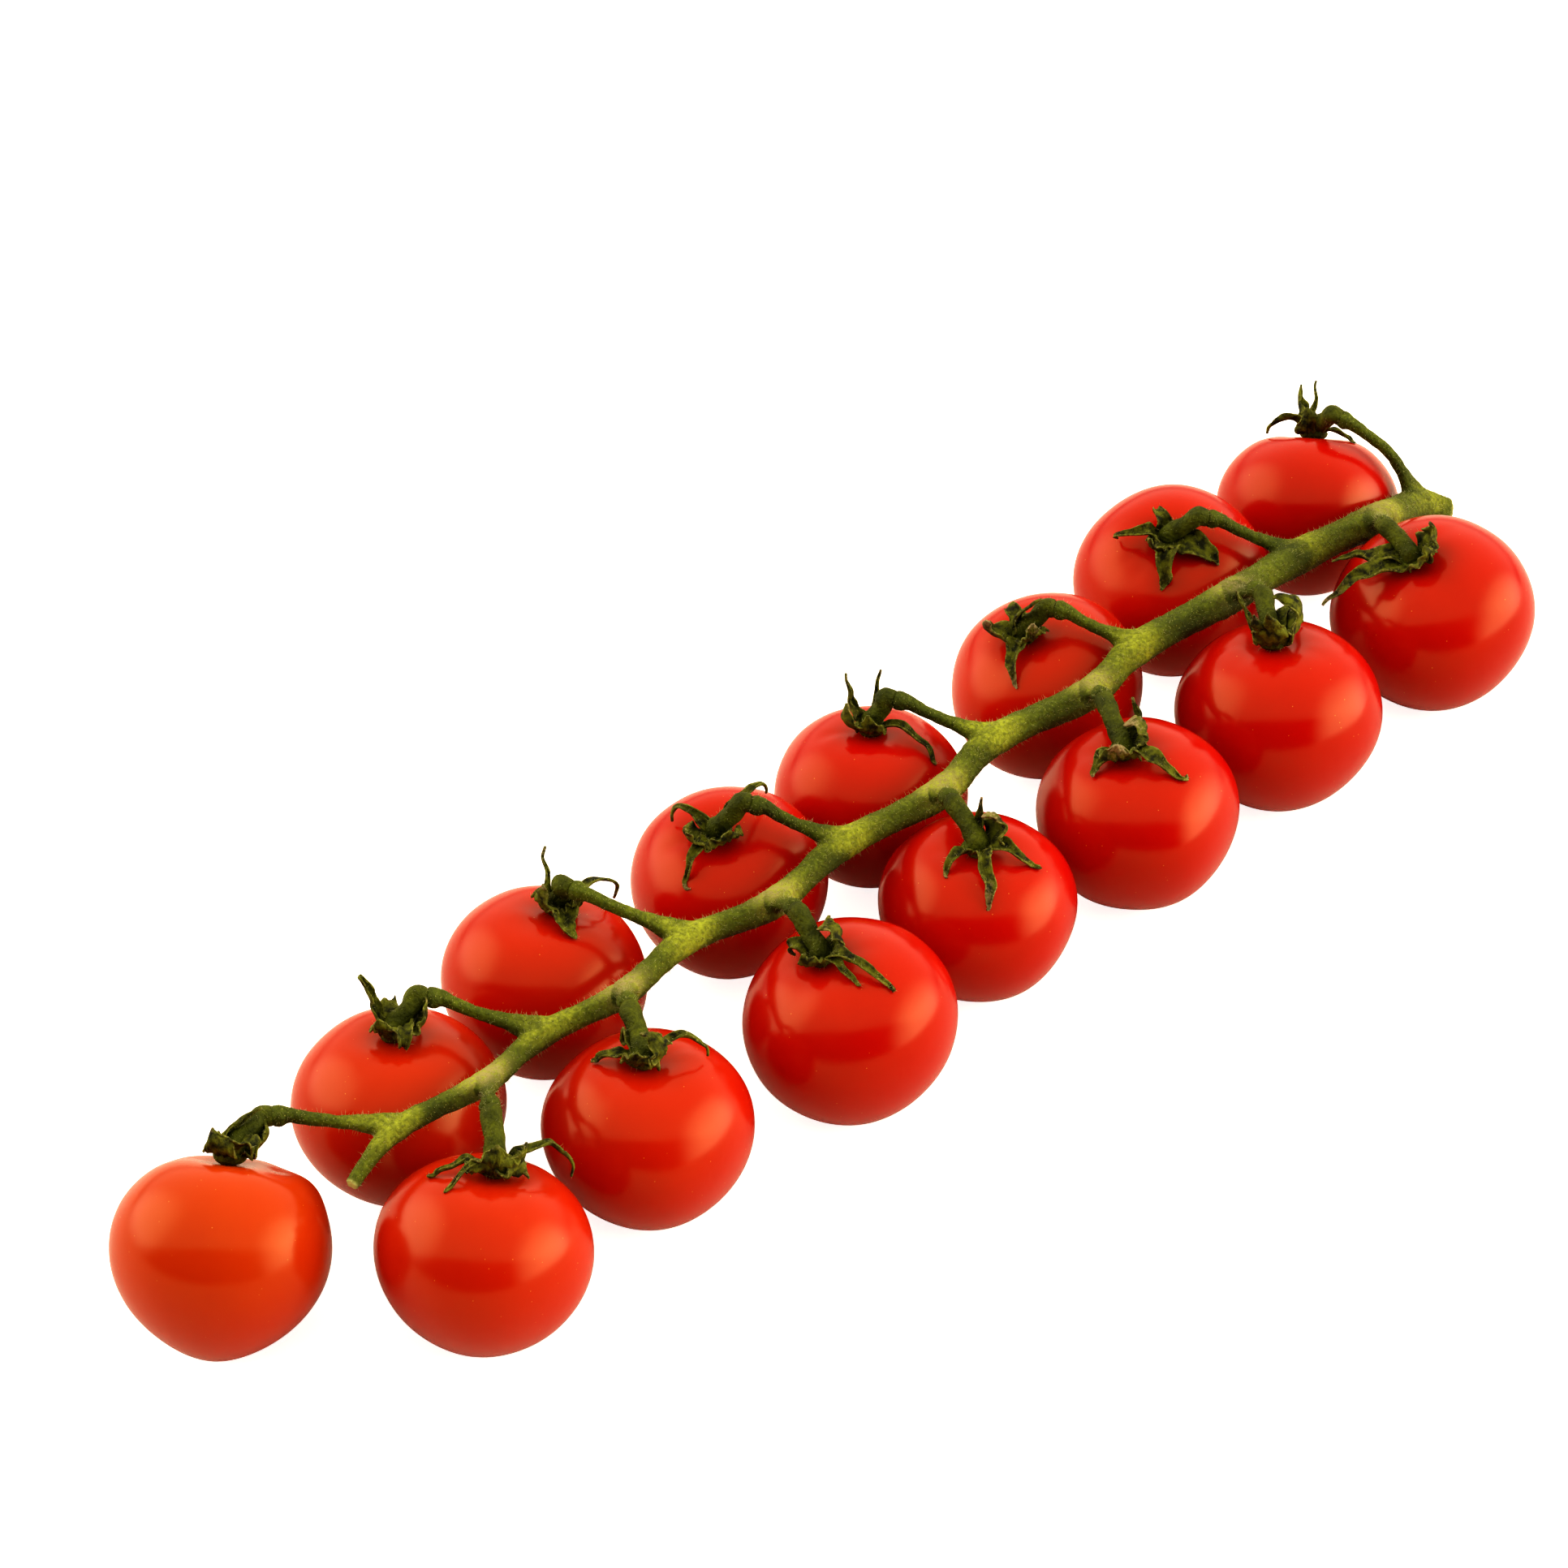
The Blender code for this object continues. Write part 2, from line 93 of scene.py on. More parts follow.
SKIN_SEGMENTS = 96
SKIN_RINGS = 72
TABLE_CLEARANCE = 0.02   # the flat spot's height over the table
SWELL = 0.010            # soft unevenness of the skin, as a share of its radius
SWELL_PITCH = 1.7
CREASES = (5, 8)         # how many creases run out of the hollow
CREASE_WIDTH = (0.16, 0.32)
CREASE_DEPTH = (0.003, 0.011)
CREASE_MIDDLE = 0.44     # how far from the stem end a crease is deepest, and its reach, in radians
CREASE_REACH = 0.17
BLOSSOM_SCAR = 0.06      # radius of the dry scar at the blossom end, in radians
SHOULDER_WAY = -1.4      # where the first fruit's lumpy shoulder is, in radians round its axis
# The cleft and the bulge there: how far out, how wide round the axis, how far from the stem end, how long.
SHOULDER_LUMPS = ((-0.055, 0.45, 0.46, 0.15), (0.036, 0.50, 0.82, 0.22))
NOISE_FIELD = 50         # how far apart two pieces may read the noise

RIPE_RED = (0.480, 0.008, 0.001, 1)
DEEP_RED = (0.430, 0.003, 0.001, 1)
UNRIPE_ORANGE = (0.500, 0.056, 0.002, 1)
SPECK_GOLD = (0.800, 0.360, 0.080, 1)
SCAR_TAN = (0.300, 0.150, 0.050, 1)
RIPENESS = (0.15, 0.68, 0.68, 0.80, 0.85, 0.95, 1.0, 1.0, 1.0, 1.0, 0.92, 1.0, 1.0, 1.0, 1.0)
# Each of these masks climbs between two heights on the fruit, and some between two shares.
RED_CLIMB = (0.35, 1.25)
UNRIPE_CLIMB = (-0.9, 1.2, 0.35)
SPECK_CLIMB = (-0.5, 0.6, 0.15, 0.55)
CLOUD_SHARE = 0.5
SKIN_SHIFT = (0.37, 0.21)         # how far the pattern moves from one fruit to the next
SKIN_ROUGHNESS = (0.16, 0.24)
SKIN_IOR = 1.44
GLOSS_TINT = (1.0, 0.82, 0.38, 1)
FLESH_SHARE = 0.15                # how much of the light goes into the flesh, how far, and what comes back
FLESH_REACH = 0.0016
FLESH_TINT = (1.0, 0.25, 0.12)


def skin(angle, nose=0):
    """The fruit's outline as shares of its radius: distance from its axis, and height, at an angle from the
    stem end."""
    out = math.sin(angle) * (1 + WIDEST * math.cos(angle)) / (1 + WIDEST ** 2)
    high = HEIGHT * math.cos(angle) - DIMPLE * math.exp(-((angle / DIMPLE_SPREAD) ** 2))
    high -= nose * max(0, -math.cos(angle)) ** NOSE_POINTED
    return out, high


def fruit_turn(fruit):
    lean = Matrix.Rotation(math.radians(fruit.lean), 3, "Y")
    return Matrix.Rotation(math.radians(fruit.towards), 3, "Z") @ lean


def fruit_nose(number):
    return NOSE if number == 1 else 0


def fruit_middle(number, fruit):
    """Where the middle of a fruit lies, once its lowest place is pressed flat on the table."""
    lean = math.radians(fruit.lean)
    drops = []
    for step in range(OUTLINE_STEPS + 1):
        out, high = skin(math.pi / 2 * (1 + step / OUTLINE_STEPS), fruit_nose(number))
        drops.append(out * math.sin(lean) - high * math.cos(lean))
    return Vector((fruit.x, fruit.y, max(drops) * fruit.across / 2 - FLAT_SPOT)) - MIDDLE


def noise_place(detail):
    """A place in the noise for one piece to start from."""
    return Vector([detail.uniform(0, NOISE_FIELD) for _ in range(3)])


def tomato_mesh(name, number, fruit, growth, detail):
    """One tomato's skin in its place. Each point holds its height and how near the blossom scar it is."""
    creases = []
    for _ in range(detail.randint(*CREASES)):
        turned = detail.uniform(0, math.tau)
        creases.append((turned, detail.uniform(*CREASE_WIDTH), detail.uniform(*CREASE_DEPTH)))
    place = noise_place(detail)
    turn = fruit_turn(fruit)
    middle = fruit_middle(number, fruit)
    shape = bmesh.new()
    bmesh.ops.create_uvsphere(shape, u_segments=SKIN_SEGMENTS, v_segments=SKIN_RINGS, radius=1)
    scar = shape.verts.layers.float.new("scar")
    height = shape.verts.layers.float.new("height")
    for vertex in shape.verts:
        share = math.acos(max(-1, min(1, vertex.co.z))) / math.pi
        angle = math.pi * share ** RING_CROWDING
        around = math.atan2(vertex.co.y, vertex.co.x)
        out, high = skin(angle, fruit_nose(number))
        out *= 1 + LOBES * math.cos(growth.lobes * around + growth.phase) * math.sin(angle)
        size = 1 + SWELL * noise.noise(vertex.co * SWELL_PITCH + place)
        for turned, width, depth in creases:
            off = math.remainder(around - turned, math.tau) / width
            size -= depth * math.exp(-(off ** 2) - ((angle - CREASE_MIDDLE) / CREASE_REACH) ** 2)
        if number == 1:
            off = math.remainder(around - SHOULDER_WAY, math.tau)
            for rise, width, far, reach in SHOULDER_LUMPS:
                size += rise * math.exp(-((off / width) ** 2) - ((angle - far) / reach) ** 2)
        local = Vector((out * math.cos(around), out * math.sin(around), high)) * fruit.across / 2 * size
        standing = turn @ local + middle
        standing.z = max(standing.z, TABLE_CLEARANCE)
        vertex.co = standing * MM
        vertex[height] = high
        vertex[scar] = math.exp(-(((math.pi - angle) / BLOSSOM_SCAR) ** 2))
    mesh = bpy.data.meshes.new(name)
    shape.to_mesh(mesh)
    shape.free()
    return mesh


def add_node(tree, kind, inputs=None, **settings):
    """A shader node with its settings, each input given a value or joined to another node's output."""
    made = tree.nodes.new("ShaderNode" + kind)
    for name, value in settings.items():
        setattr(made, name, value)
    for name, value in (inputs or {}).items():
        if isinstance(value, bpy.types.NodeSocket):
            tree.links.new(value, made.inputs[name])
        else:
            made.inputs[name].default_value = value
    return made


def calculate(tree, operation, first, second=0.0):
    return add_node(tree, "Math", {0: first, 1: second}, operation=operation, use_clamp=False).outputs[0]


def blend_colours(tree, share, first, second):
    mixer = add_node(tree, "Mix", {0: share, 6: first, 7: second}, data_type="RGBA")
    return mixer.outputs[2]


def between(tree, value, low, high, to_low=0.0, to_high=1.0):
    """A value turned into a soft mask that climbs from low to high."""
    inputs = {"Value": value, "From Min": low, "From Max": high, "To Min": to_low, "To Max": to_high}
    return add_node(tree, "MapRange", inputs, interpolation_type="SMOOTHSTEP").outputs["Result"]


def surface_value(tree, name):
    return add_node(tree, "Attribute", attribute_name=name).outputs["Fac"]


def new_effect(name, inputs, outputs):
    """An empty node group: its tree, its input node and its output node."""
    tree = bpy.data.node_groups.new(name, "ShaderNodeTree")
    for label, kind, value in inputs:
        socket = tree.interface.new_socket(label, in_out="INPUT", socket_type=kind)
        if value is not None:
            socket.default_value = value
    for label, kind in outputs:
        tree.interface.new_socket(label, in_out="OUTPUT", socket_type=kind)
    return tree, tree.nodes.new("NodeGroupInput"), tree.nodes.new("NodeGroupOutput")


def apply_effect(tree, effect, inputs):
    made = tree.nodes.new("ShaderNodeGroup")
    made.node_tree = effect
    for name, value in inputs.items():
        if isinstance(value, bpy.types.NodeSocket):
            tree.links.new(value, made.inputs[name])
        else:
            made.inputs[name].default_value = value
    return made.outputs[0]


def new_finish(name, roughness):
    """A material, its tree and its shader."""
    made = bpy.data.materials.new(name)
    made.use_nodes = True
    shader = made.node_tree.nodes["Principled BSDF"]
    shader.inputs["Roughness"].default_value = roughness
    return made, made.node_tree, shader


def mottle_effect():
    """Cloudy patches: a mask whose patches are Size metres across, harder edged with more Contrast."""
    inputs = (("Place", "NodeSocketVector", None), ("Size", "NodeSocketFloat", 0.01),
              ("Contrast", "NodeSocketFloat", 1.0), ("Detail", "NodeSocketFloat", 3.0))
    tree, given, result = new_effect("mottle", inputs, (("Mask", "NodeSocketFloat"),))
    scale = calculate(tree, "DIVIDE", 1.0, given.outputs["Size"])
    cloud = add_node(tree, "TexNoise", {"Vector": given.outputs["Place"], "Scale": scale,
                                        "Detail": given.outputs["Detail"], "Roughness": 0.55})
    centred = calculate(tree, "SUBTRACT", cloud.outputs["Fac"], 0.5)
    spread = calculate(tree, "MULTIPLY", centred, given.outputs["Contrast"])
    mask = add_node(tree, "Math", {0: spread, 1: 0.5}, operation="ADD", use_clamp=True)
    tree.links.new(mask.outputs[0], result.inputs["Mask"])
    return tree


def speck_effect():
    """Small round specks, Radius metres in radius. Each cell is Spacing metres wide, and a Share of the cells
    holds one."""
    inputs = (("Place", "NodeSocketVector", None), ("Spacing", "NodeSocketFloat", 0.002),
              ("Radius", "NodeSocketFloat", 0.0001), ("Share", "NodeSocketFloat", 0.5))
    tree, given, result = new_effect("specks", inputs, (("Mask", "NodeSocketFloat"),))
    scale = calculate(tree, "DIVIDE", 1.0, given.outputs["Spacing"])
    cells = add_node(tree, "TexVoronoi", {"Vector": given.outputs["Place"], "Scale": scale})
    reach = calculate(tree, "DIVIDE", given.outputs["Radius"], given.outputs["Spacing"])
    near = calculate(tree, "DIVIDE", cells.outputs["Distance"], reach)
    dot = add_node(tree, "MapRange", {"Value": near, "From Min": 0.6, "From Max": 1.2, "To Min": 1.0,
                                      "To Max": 0.0}, interpolation_type="SMOOTHSTEP")
    chosen = calculate(tree, "LESS_THAN", cells.outputs["Color"], given.outputs["Share"])
    shown = calculate(tree, "MULTIPLY", dot.outputs["Result"], chosen)
    tree.links.new(shown, result.inputs["Mask"])
    return tree


def tomato_skin(number, mottle, specks):
    made, tree, shader = new_finish(f"tomato_skin_{number:02d}", 0.2)
    place = add_node(tree, "TexCoord").outputs["Object"]
    shift = (number * SKIN_SHIFT[0], number * SKIN_SHIFT[1], 0.0)
    shifted = add_node(tree, "VectorMath", {0: place, 1: shift}).outputs[0]
    height = surface_value(tree, "height")
    clouds = apply_effect(tree, mottle, {"Place": shifted, "Size": 0.014, "Contrast": 2.2})
    rising = calculate(tree, "ADD", height, calculate(tree, "MULTIPLY", clouds, CLOUD_SHARE))
    red = blend_colours(tree, between(tree, rising, *RED_CLIMB), DEEP_RED, RIPE_RED)
    unripe = calculate(tree, "MULTIPLY", between(tree, rising, *UNRIPE_CLIMB), 1 - RIPENESS[number - 1])
    ground = blend_colours(tree, unripe, red, UNRIPE_ORANGE)
    dots = apply_effect(tree, specks, {"Place": shifted, "Spacing": 0.0015, "Radius": 0.00008, "Share": 0.6})
    dots = calculate(tree, "MULTIPLY", dots, between(tree, height, *SPECK_CLIMB))
    ground = blend_colours(tree, dots, ground, SPECK_GOLD)
    ground = blend_colours(tree, surface_value(tree, "scar"), ground, SCAR_TAN)
    tree.links.new(ground, shader.inputs["Base Color"])
    grain = add_node(tree, "TexNoise", {"Vector": shifted, "Scale": 900.0, "Detail": 2.0})
    film = apply_effect(tree, mottle, {"Place": shifted, "Size": 0.006, "Contrast": 1.5})
    tree.links.new(between(tree, film, 0.0, 1.0, *SKIN_ROUGHNESS), shader.inputs["Roughness"])
    bump = add_node(tree, "Bump", {"Height": grain.outputs["Fac"], "Strength": 0.08, "Distance": 0.00006})
    tree.links.new(bump.outputs["Normal"], shader.inputs["Normal"])
    shader.inputs["IOR"].default_value = SKIN_IOR
    shader.inputs["Specular Tint"].default_value = GLOSS_TINT
    shader.inputs["Subsurface Weight"].default_value = FLESH_SHARE
    shader.inputs["Subsurface Radius"].default_value = FLESH_TINT
    shader.inputs["Subsurface Scale"].default_value = FLESH_REACH
    return made


def place_piece(name, mesh, finish, node):
    """An object of the truss, with its material, that stands for a solid and rides with it."""
    mesh.materials.append(finish)
    mesh.shade_smooth()
    piece = bpy.data.objects.new(name, mesh)
    bpy.context.scene.collection.objects.link(piece)
    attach(piece, "root")
    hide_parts(node)
    return piece


# What grew differently from fruit to fruit, drawn in the solids' order: ribs, where they start, and three
# numbers for each sepal.
Growth = namedtuple("Growth", "lobes phase sepals")
chance = random.Random(SEED)
growths = []
for _ in FRUITS:
    lobes = chance.choice(LOBE_COUNTS)
    phase = chance.uniform(0, math.tau)
    growths.append(Growth(lobes, phase, [[chance.random() for _ in range(3)] for _ in range(SEPALS)]))

mottle = mottle_effect()
specks = speck_effect()
for number, (fruit, growth) in enumerate(zip(FRUITS, growths), 1):
    name = f"tomato_{number:02d}"
    mesh = tomato_mesh(name, number, fruit, growth, random.Random(SEED * number))
    place_piece(name + "_skin", mesh, tomato_skin(number, mottle, specks), name)

# The calyces. Each is the short stalk beyond a knuckle, the green disc that it ends in and five leafy sepals,
# all one growth. The disc sits in the fruit's hollow. The sepals have dried: they are dark, channelled and
# curled, with thin tan tips.

# Each fruit's sepals: form, way round from +X in degrees, length, and breadth as a share of the usual one.
SEPAL_ROWS = (
    (("cross", 125, 9, 1.0), ("cup", -160, 5, 1.3), ("curl", -95, 7, 1.4), ("cup", -35, 6, 1.5),
     ("curl", 60, 6, 1.0)),
    (("cup", -132, 6, 2.4), ("hook", -28, 13, 0.8), ("trail", 156, 12, 0.7), ("trail", 178, 11, 0.7),
     ("cup", -75, 6, 1.6)),
    (("stub", 112, 9, 0.8), ("cup", -165, 5, 1.4), ("curl", -110, 7, 1.5), ("cup", -50, 7, 1.6),
     ("curl", 60, 6, 1.0)),
    (("press", 133, 7, 0.8), ("hook", -35, 11, 0.9), ("cup", -150, 5, 1.4), ("roll", -80, 8, 1.4),
     ("curl", 78, 6, 1.0)),
    (("spike", 95, 8, 0.7), ("hook", -22, 13, 1.0), ("cup", -178, 6, 1.6), ("press", -122, 8, 1.2),
     ("cup", -75, 5, 1.3)),
    (("trail", -84, 16, 0.9), ("trail", -104, 11, 0.8), ("roll", -28, 8, 1.6), ("curl", 120, 6, 1.1),
     ("cup", -162, 5, 1.2)),
    (("trail", -175, 13, 1.0), ("hook", -8, 13, 0.8), ("cup", 165, 7, 1.6), ("cup", -112, 5, 1.6),
     ("hook", 100, 9, 0.9)),
    (("trail", -124, 14, 1.1), ("trail", -68, 12, 0.9), ("roll", -30, 9, 1.7), ("trail", 172, 9, 1.0),
     ("spike", 40, 7, 0.8)),
    (("spike", 112, 9, 1.1), ("cup", 175, 7, 1.5), ("spike", 20, 8, 0.9), ("trail", -76, 15, 0.8),
     ("cup", -140, 5, 1.5)),
    (("trail", -93, 14, 1.3), ("cup", -150, 6, 1.6), ("roll", -35, 8, 1.6), ("press", 165, 7, 1.0),
     ("rise", -5, 7, 0.9)),
    (("cup", 145, 8, 1.6), ("cross", 115, 10, 0.9), ("press", -160, 11, 1.0), ("cup", -110, 6, 1.7),
     ("curl", 60, 6, 1.0)),
    (("rise", 118, 9, 0.9), ("hook", 15, 9, 1.0), ("roll", -42, 12, 1.9), ("rise", -140, 9, 1.8),
     ("rise", -178, 8, 1.3)),
    (("hook", 138, 10, 1.1), ("cup", 178, 6, 1.4), ("trail", -146, 12, 1.8), ("press", -78, 10, 1.8),
     ("curl", 62, 6, 1.0)),
    (("spread", 122, 12, 1.2), ("spread", 155, 15, 1.7), ("cup", -35, 7, 1.6), ("hook", 60, 8, 1.3),
     ("cup", -100, 6, 1.7)),
    (("hook", 140, 9, 1.2), ("spike", 85, 8, 1.6), ("spike", 45, 9, 0.8), ("cup", -155, 5, 1.4),
     ("trail", -80, 9, 0.8)),
)
DRIED = (8, 10, 11)      # the calyces that have dried pale in patches
DRYNESS = (-0.25, 0.15)  # how dry a sepal is, and how much drier in those calyces
DRIED_MORE = 0.18
# Each stalk's knuckle, and how far the stalk bows out on its way there.
KNUCKLES = (
    ((-118.8, 13.4, 27.0), (0, 0, 0.3)),
    ((-99.2, -8.7, 29.0), (0, 0, 0.5)),
    ((-90.1, 13.6, 30.5), (0, 0, 0.3)),
    ((-71.1, -6.7, 29.0), (0, 0, 0.5)),
    ((-60.1, 16.0, 31.0), (0, 0, 0.3)),
    ((-40.8, -9.7, 30.0), (0, 0, 0.5)),
    ((-28.3, 11.3, 31.0), (0, 0, 0.3)),
    ((-5.6, -7.5, 29.0), (0, 0, 0.5)),
    ((5.1, 13.7, 31.0), (0, 0, 0.3)),
    ((29.0, -6.9, 29.0), (0, 0, 0.5)),
    ((39.4, 11.9, 31.0), (0, 0, 0.3)),
    ((64.7, -8.0, 31.0), (0, 0, 0.5)),
    ((75.2, 11.1, 31.0), (0, 0, 0.3)),
    ((94.6, -9.5, 29.5), (0, 0, 0.5)),
    ((112.8, 14.1, 31.0), (1.6, -1.4, 1.2)),
)
# The main stem's middle line and radius (x, y, z, r), tip first. A stalk leaves it at every point but the
# first and the last.
STEM = (
    (-118.7, -2.0, 24.0, 0.95),
    (-108.6, -0.3, 26.4, 1.35),
    (-93.3, -1.3, 25.8, 1.50),
    (-81.4, 0.2, 26.0, 1.60),
    (-67.0, -1.3, 25.6, 1.70),
    (-52.8, 0.2, 26.1, 1.80),
    (-36.8, -1.3, 24.3, 1.90),
    (-20.9, 0.2, 25.1, 1.95),
    (-1.2, -1.3, 24.6, 2.05),
    (11.8, 0.2, 26.4, 2.10),
    (32.7, -1.3, 25.2, 2.15),
    (45.5, 0.2, 26.2, 2.25),
    (66.0, -1.3, 26.2, 2.35),
    (85.0, 0.2, 23.7, 2.45),
    (105.0, -0.4, 21.4, 2.45),
    (117.8, 1.0, 17.5, 2.50),
    (123.0, -0.8, 14.5, 2.75),
)
STALK_STATIONS = 3
KNUCKLE_GROOVE = 1.36
JOINT_GAP = 0.12
NECK = 1.3               # radius of the neck, the short stalk beyond the knuckle, and of its end at the disc
NECK_FLARE = 1.7
NECK_START = (0.85, 1.0, 1.12)   # its first radii, as shares of the knuckle's groove
NECK_ROUGH = 0.22        # how uneven its bark is, and the size of its lumps
NECK_LUMPS = 1.7
NECK_RISE = 1.4
NECK_STAND = 0.9
NECK_BOW = 0.6
FIRST_SIDE = Vector((0.3, 0.2, 0.9))   # where a tube's first corner is, roughly
RECEPTACLE = 2.3
RECEPTACLE_HALF = 0.75
RECEPTACLE_SEAT = 1.6
SKIN_GAP = 0.45
SEPAL_ROOT = 1.6
SEPAL_SWEEP = 14         # how far a sepal may bend sideways, in degrees
SEPAL_TWIST = 26         # how far it may twist, and how far where it lies on the skin
LYING_TWIST = 5
LYING = ("trail", "press")
SEPAL_WIDTHS = (0.85, 1.1)
# Each form of sepal: the angle it climbs at from its root and at its tip, how late along its length it turns,
# how closely it folds, and how late it narrows.
SEPAL_FORMS = {
    "spike": (62, 84, 0.8, 1.1, 0.7),
    "rise": (52, 76, 1.0, 0.9, 1.4),
    "cross": (72, 165, 0.6, 1.0, 0.8),
    "stub": (66, 72, 1.0, 1.2, 1.0),
    "trail": (60, -95, 0.65, 1.0, 0.6),
    "press": (48, -80, 0.7, 0.8, 1.1),
    "hook": (72, -95, 1.1, 1.0, 0.65),
    "curl": (78, -185, 1.7, 0.8, 1.3),
    "roll": (34, 215, 1.5, 0.5, 2.0),
    "cup": (14, 104, 0.9, 0.5, 1.8),
    "spread": (34, -28, 1.0, 0.8, 0.9),
}

SEPAL_HALF_WIDTH = 2.0
SEPAL_ROOT_WIDTH = 0.68
SEPAL_TIP = 0.14
STUB_TIP = 0.85
SEPAL_STATIONS = 30
SEPAL_COLUMNS = 12
SEPAL_THICK = 0.26
SEPAL_REST = 0.22        # a lying sepal's height over the skin
FOLD_ROOT = 0.7          # how far a sepal's edges fold up from its middle, in radians, at its root and tip
FOLD_TIP = 2.1
FOLDED = (0.85, 1.15)    # how much more or less closely than its form says one sepal folds
EDGE_WAVE = 0.26         # height of the waves in its edges, as a share of its half width
VEIN_HEIGHT = 0.09       # height of the long veins in it, as a share of its half width
VEINS = 5
CRUMPLES = ((0.75, 3.2), (0.09, 1.1))   # how far the dry leaf is crumpled, and the size of its crumples
CRUMPLED_ROOT = 0.35     # how crumpled it is at its root, as a share, and how fast that grows along it
CRUMPLE_GROWTH = 2.5
EDGE_WAVES = (1.6, 3.4)
RIB_DEPTH = 0.10         # depth of the groove over its middle rib, and its width as a share of the half width
RIB_WIDTH = 0.22
NECK_SIDES = 20
NECK_STATIONS = 8
DISC_DOWN = 1.35         # how far the disc reaches down from its middle, into the hollow
DISC_LOBES = 0.06
DISC_SEGMENTS = 40
DISC_RINGS = 16

SEPAL_DARK = (0.014, 0.016, 0.001, 1)
SEPAL_GREEN = (0.150, 0.160, 0.008, 1)
SEPAL_EDGE = (0.260, 0.250, 0.050, 1)
SEPAL_DRY = (0.350, 0.270, 0.130, 1)
NECK_DARK = (0.030, 0.038, 0.001, 1)
NECK_GREEN = (0.140, 0.158, 0.006, 1)
NECK_SHADE = (0.024, 0.030, 0.001, 1)
# Where a sepal's pale rim starts and ends, how patchy the rim is, how much its patches and the way along it
# dry it, and between which values it turns from green to tan.
RIM_CLIMB = (0.70, 1.0)
RIM_PATCHES = (0.35, 0.9, 0.1, 0.9)
PATCH_DRYING = 0.3
TIP_DRYING = 0.75
TAN_CLIMB = (0.82, 1.2)


def skin_height(out, radius):
    """How high the skin stands over the bottom of the hollow, so far out from the fruit's axis."""
    lowest = skin(0)[1]
    inner, below = skin(0)
    for step in range(1, OUTLINE_STEPS + 1):
        outer, above = skin(math.pi / 2 * step / OUTLINE_STEPS)
        if outer * radius >= out:
            share = (out / radius - inner) / (outer - inner)
            return (below + (above - below) * share - lowest) * radius
        inner, below = outer, above
    return -out


def seat_height(radius):
    """How high the middle of the disc stands over the bottom of the hollow."""
    return skin_height(RECEPTACLE_SEAT, radius) + SKIN_GAP + RECEPTACLE_HALF


def fruit_pole(number, fruit):
    """The bottom of the hollow."""
    return fruit_middle(number, fruit) + fruit_turn(fruit) @ UP * skin(0)[1] * fruit.across / 2


def smooth_line(points, stations):
    """A Catmull-Rom curve through the points, with so many stations from one point to the next."""
    ends = [points[0] * 2 - points[1], *points, points[-1] * 2 - points[-2]]
    line = []
    for before, start, end, after in zip(ends, ends[1:], ends[2:], ends[3:]):
        for step in range(stations):
            t = step / stations
            line.append(0.5 * (2 * start + (end - before) * t
                               + (2 * before - 5 * start + 4 * end - after) * t ** 2
                               + (3 * start - before - 3 * end + after) * t ** 3))
    line.append(points[-1].copy())
    return line


def with_radius(place, radius):
    return Vector((*place, radius))


def stalk_course(number, fruit):
    """The stalk's points from the stem to the knuckle, those from there to the disc, and its way at the
    knuckle."""
    root = Vector(STEM[number][:3]) - MIDDLE
    knuckle = Vector(KNUCKLES[number - 1][0]) - MIDDLE
    axis = fruit_turn(fruit) @ UP
    seat = fruit_pole(number, fruit) + axis * seat_height(fruit.across / 2)
    top = seat + axis * NECK_STAND
    bend = (root + knuckle) / 2 + Vector(KNUCKLES[number - 1][1])
    low = top.lerp(knuckle, 0.5) + axis * NECK_BOW
    line = smooth_line([root, bend, knuckle, low, top], STALK_STATIONS)
    middle = 2 * STALK_STATIONS
    way = (line[middle + 1] - line[middle - 1]).normalized()
    return line[:middle + 1], [knuckle, low, line[-2], top, seat], way


def tube(line, sides):
    """Points and faces of a closed round tube along a line of points that hold their radius."""
    places = [Vector(point[:3]) for point in line]
    last = len(line) - 1
    side = FIRST_SIDE
    points = []
    for number, place in enumerate(places):
        way = (places[min(number + 1, last)] - places[max(number - 1, 0)]).normalized()
        side = (side - way * side.dot(way)).normalized()
        other = way.cross(side)
        for corner in range(sides):
            turn = math.tau * corner / sides
            points.append(place + (side * math.cos(turn) + other * math.sin(turn)) * line[number][3])
    faces = []
    for ring in range(last):
        for corner in range(sides):
            here = ring * sides
            after = (corner + 1) % sides
            faces.append((here + corner, here + after, here + sides + after, here + sides + corner))
    faces.append(tuple(reversed(range(sides))))
    faces.append(tuple(range(last * sides, (last + 1) * sides)))
    return points, faces


def disc(radius, seat):
    """Points and faces of the lobed disc that the sepals grow from."""
    shape = bmesh.new()
    bmesh.ops.create_uvsphere(shape, u_segments=DISC_SEGMENTS, v_segments=DISC_RINGS, radius=1)
    points = []
    for vertex in shape.verts:
        around = math.atan2(vertex.co.y, vertex.co.x)
        wide = radius * (1 + DISC_LOBES * math.cos(SEPALS * around))
        down = RECEPTACLE_HALF if vertex.co.z > 0 else DISC_DOWN
        points.append(Vector((vertex.co.x * wide, vertex.co.y * wide, vertex.co.z * down + seat)))
    faces = [tuple(corner.index for corner in face.verts) for face in shape.faces]
    shape.free()
    return points, faces


def sepal_course(form, length, radius):
    """A sepal's course out from the calyx and up, kept over the skin: pairs of distance and height."""
    start, end, late = SEPAL_FORMS[form][:3]
    step = length / SEPAL_STATIONS
    out = SEPAL_ROOT
    high = seat_height(radius)
    line = [(out, high)]
    for station in range(SEPAL_STATIONS):
        climb = math.radians(start + (end - start) * ((station + 0.5) / SEPAL_STATIONS) ** late)
        out += step * math.cos(climb)
        high += step * math.sin(climb)
        high = max(high, skin_height(abs(out), radius) + SEPAL_REST)
        line.append((out, high))
    return line


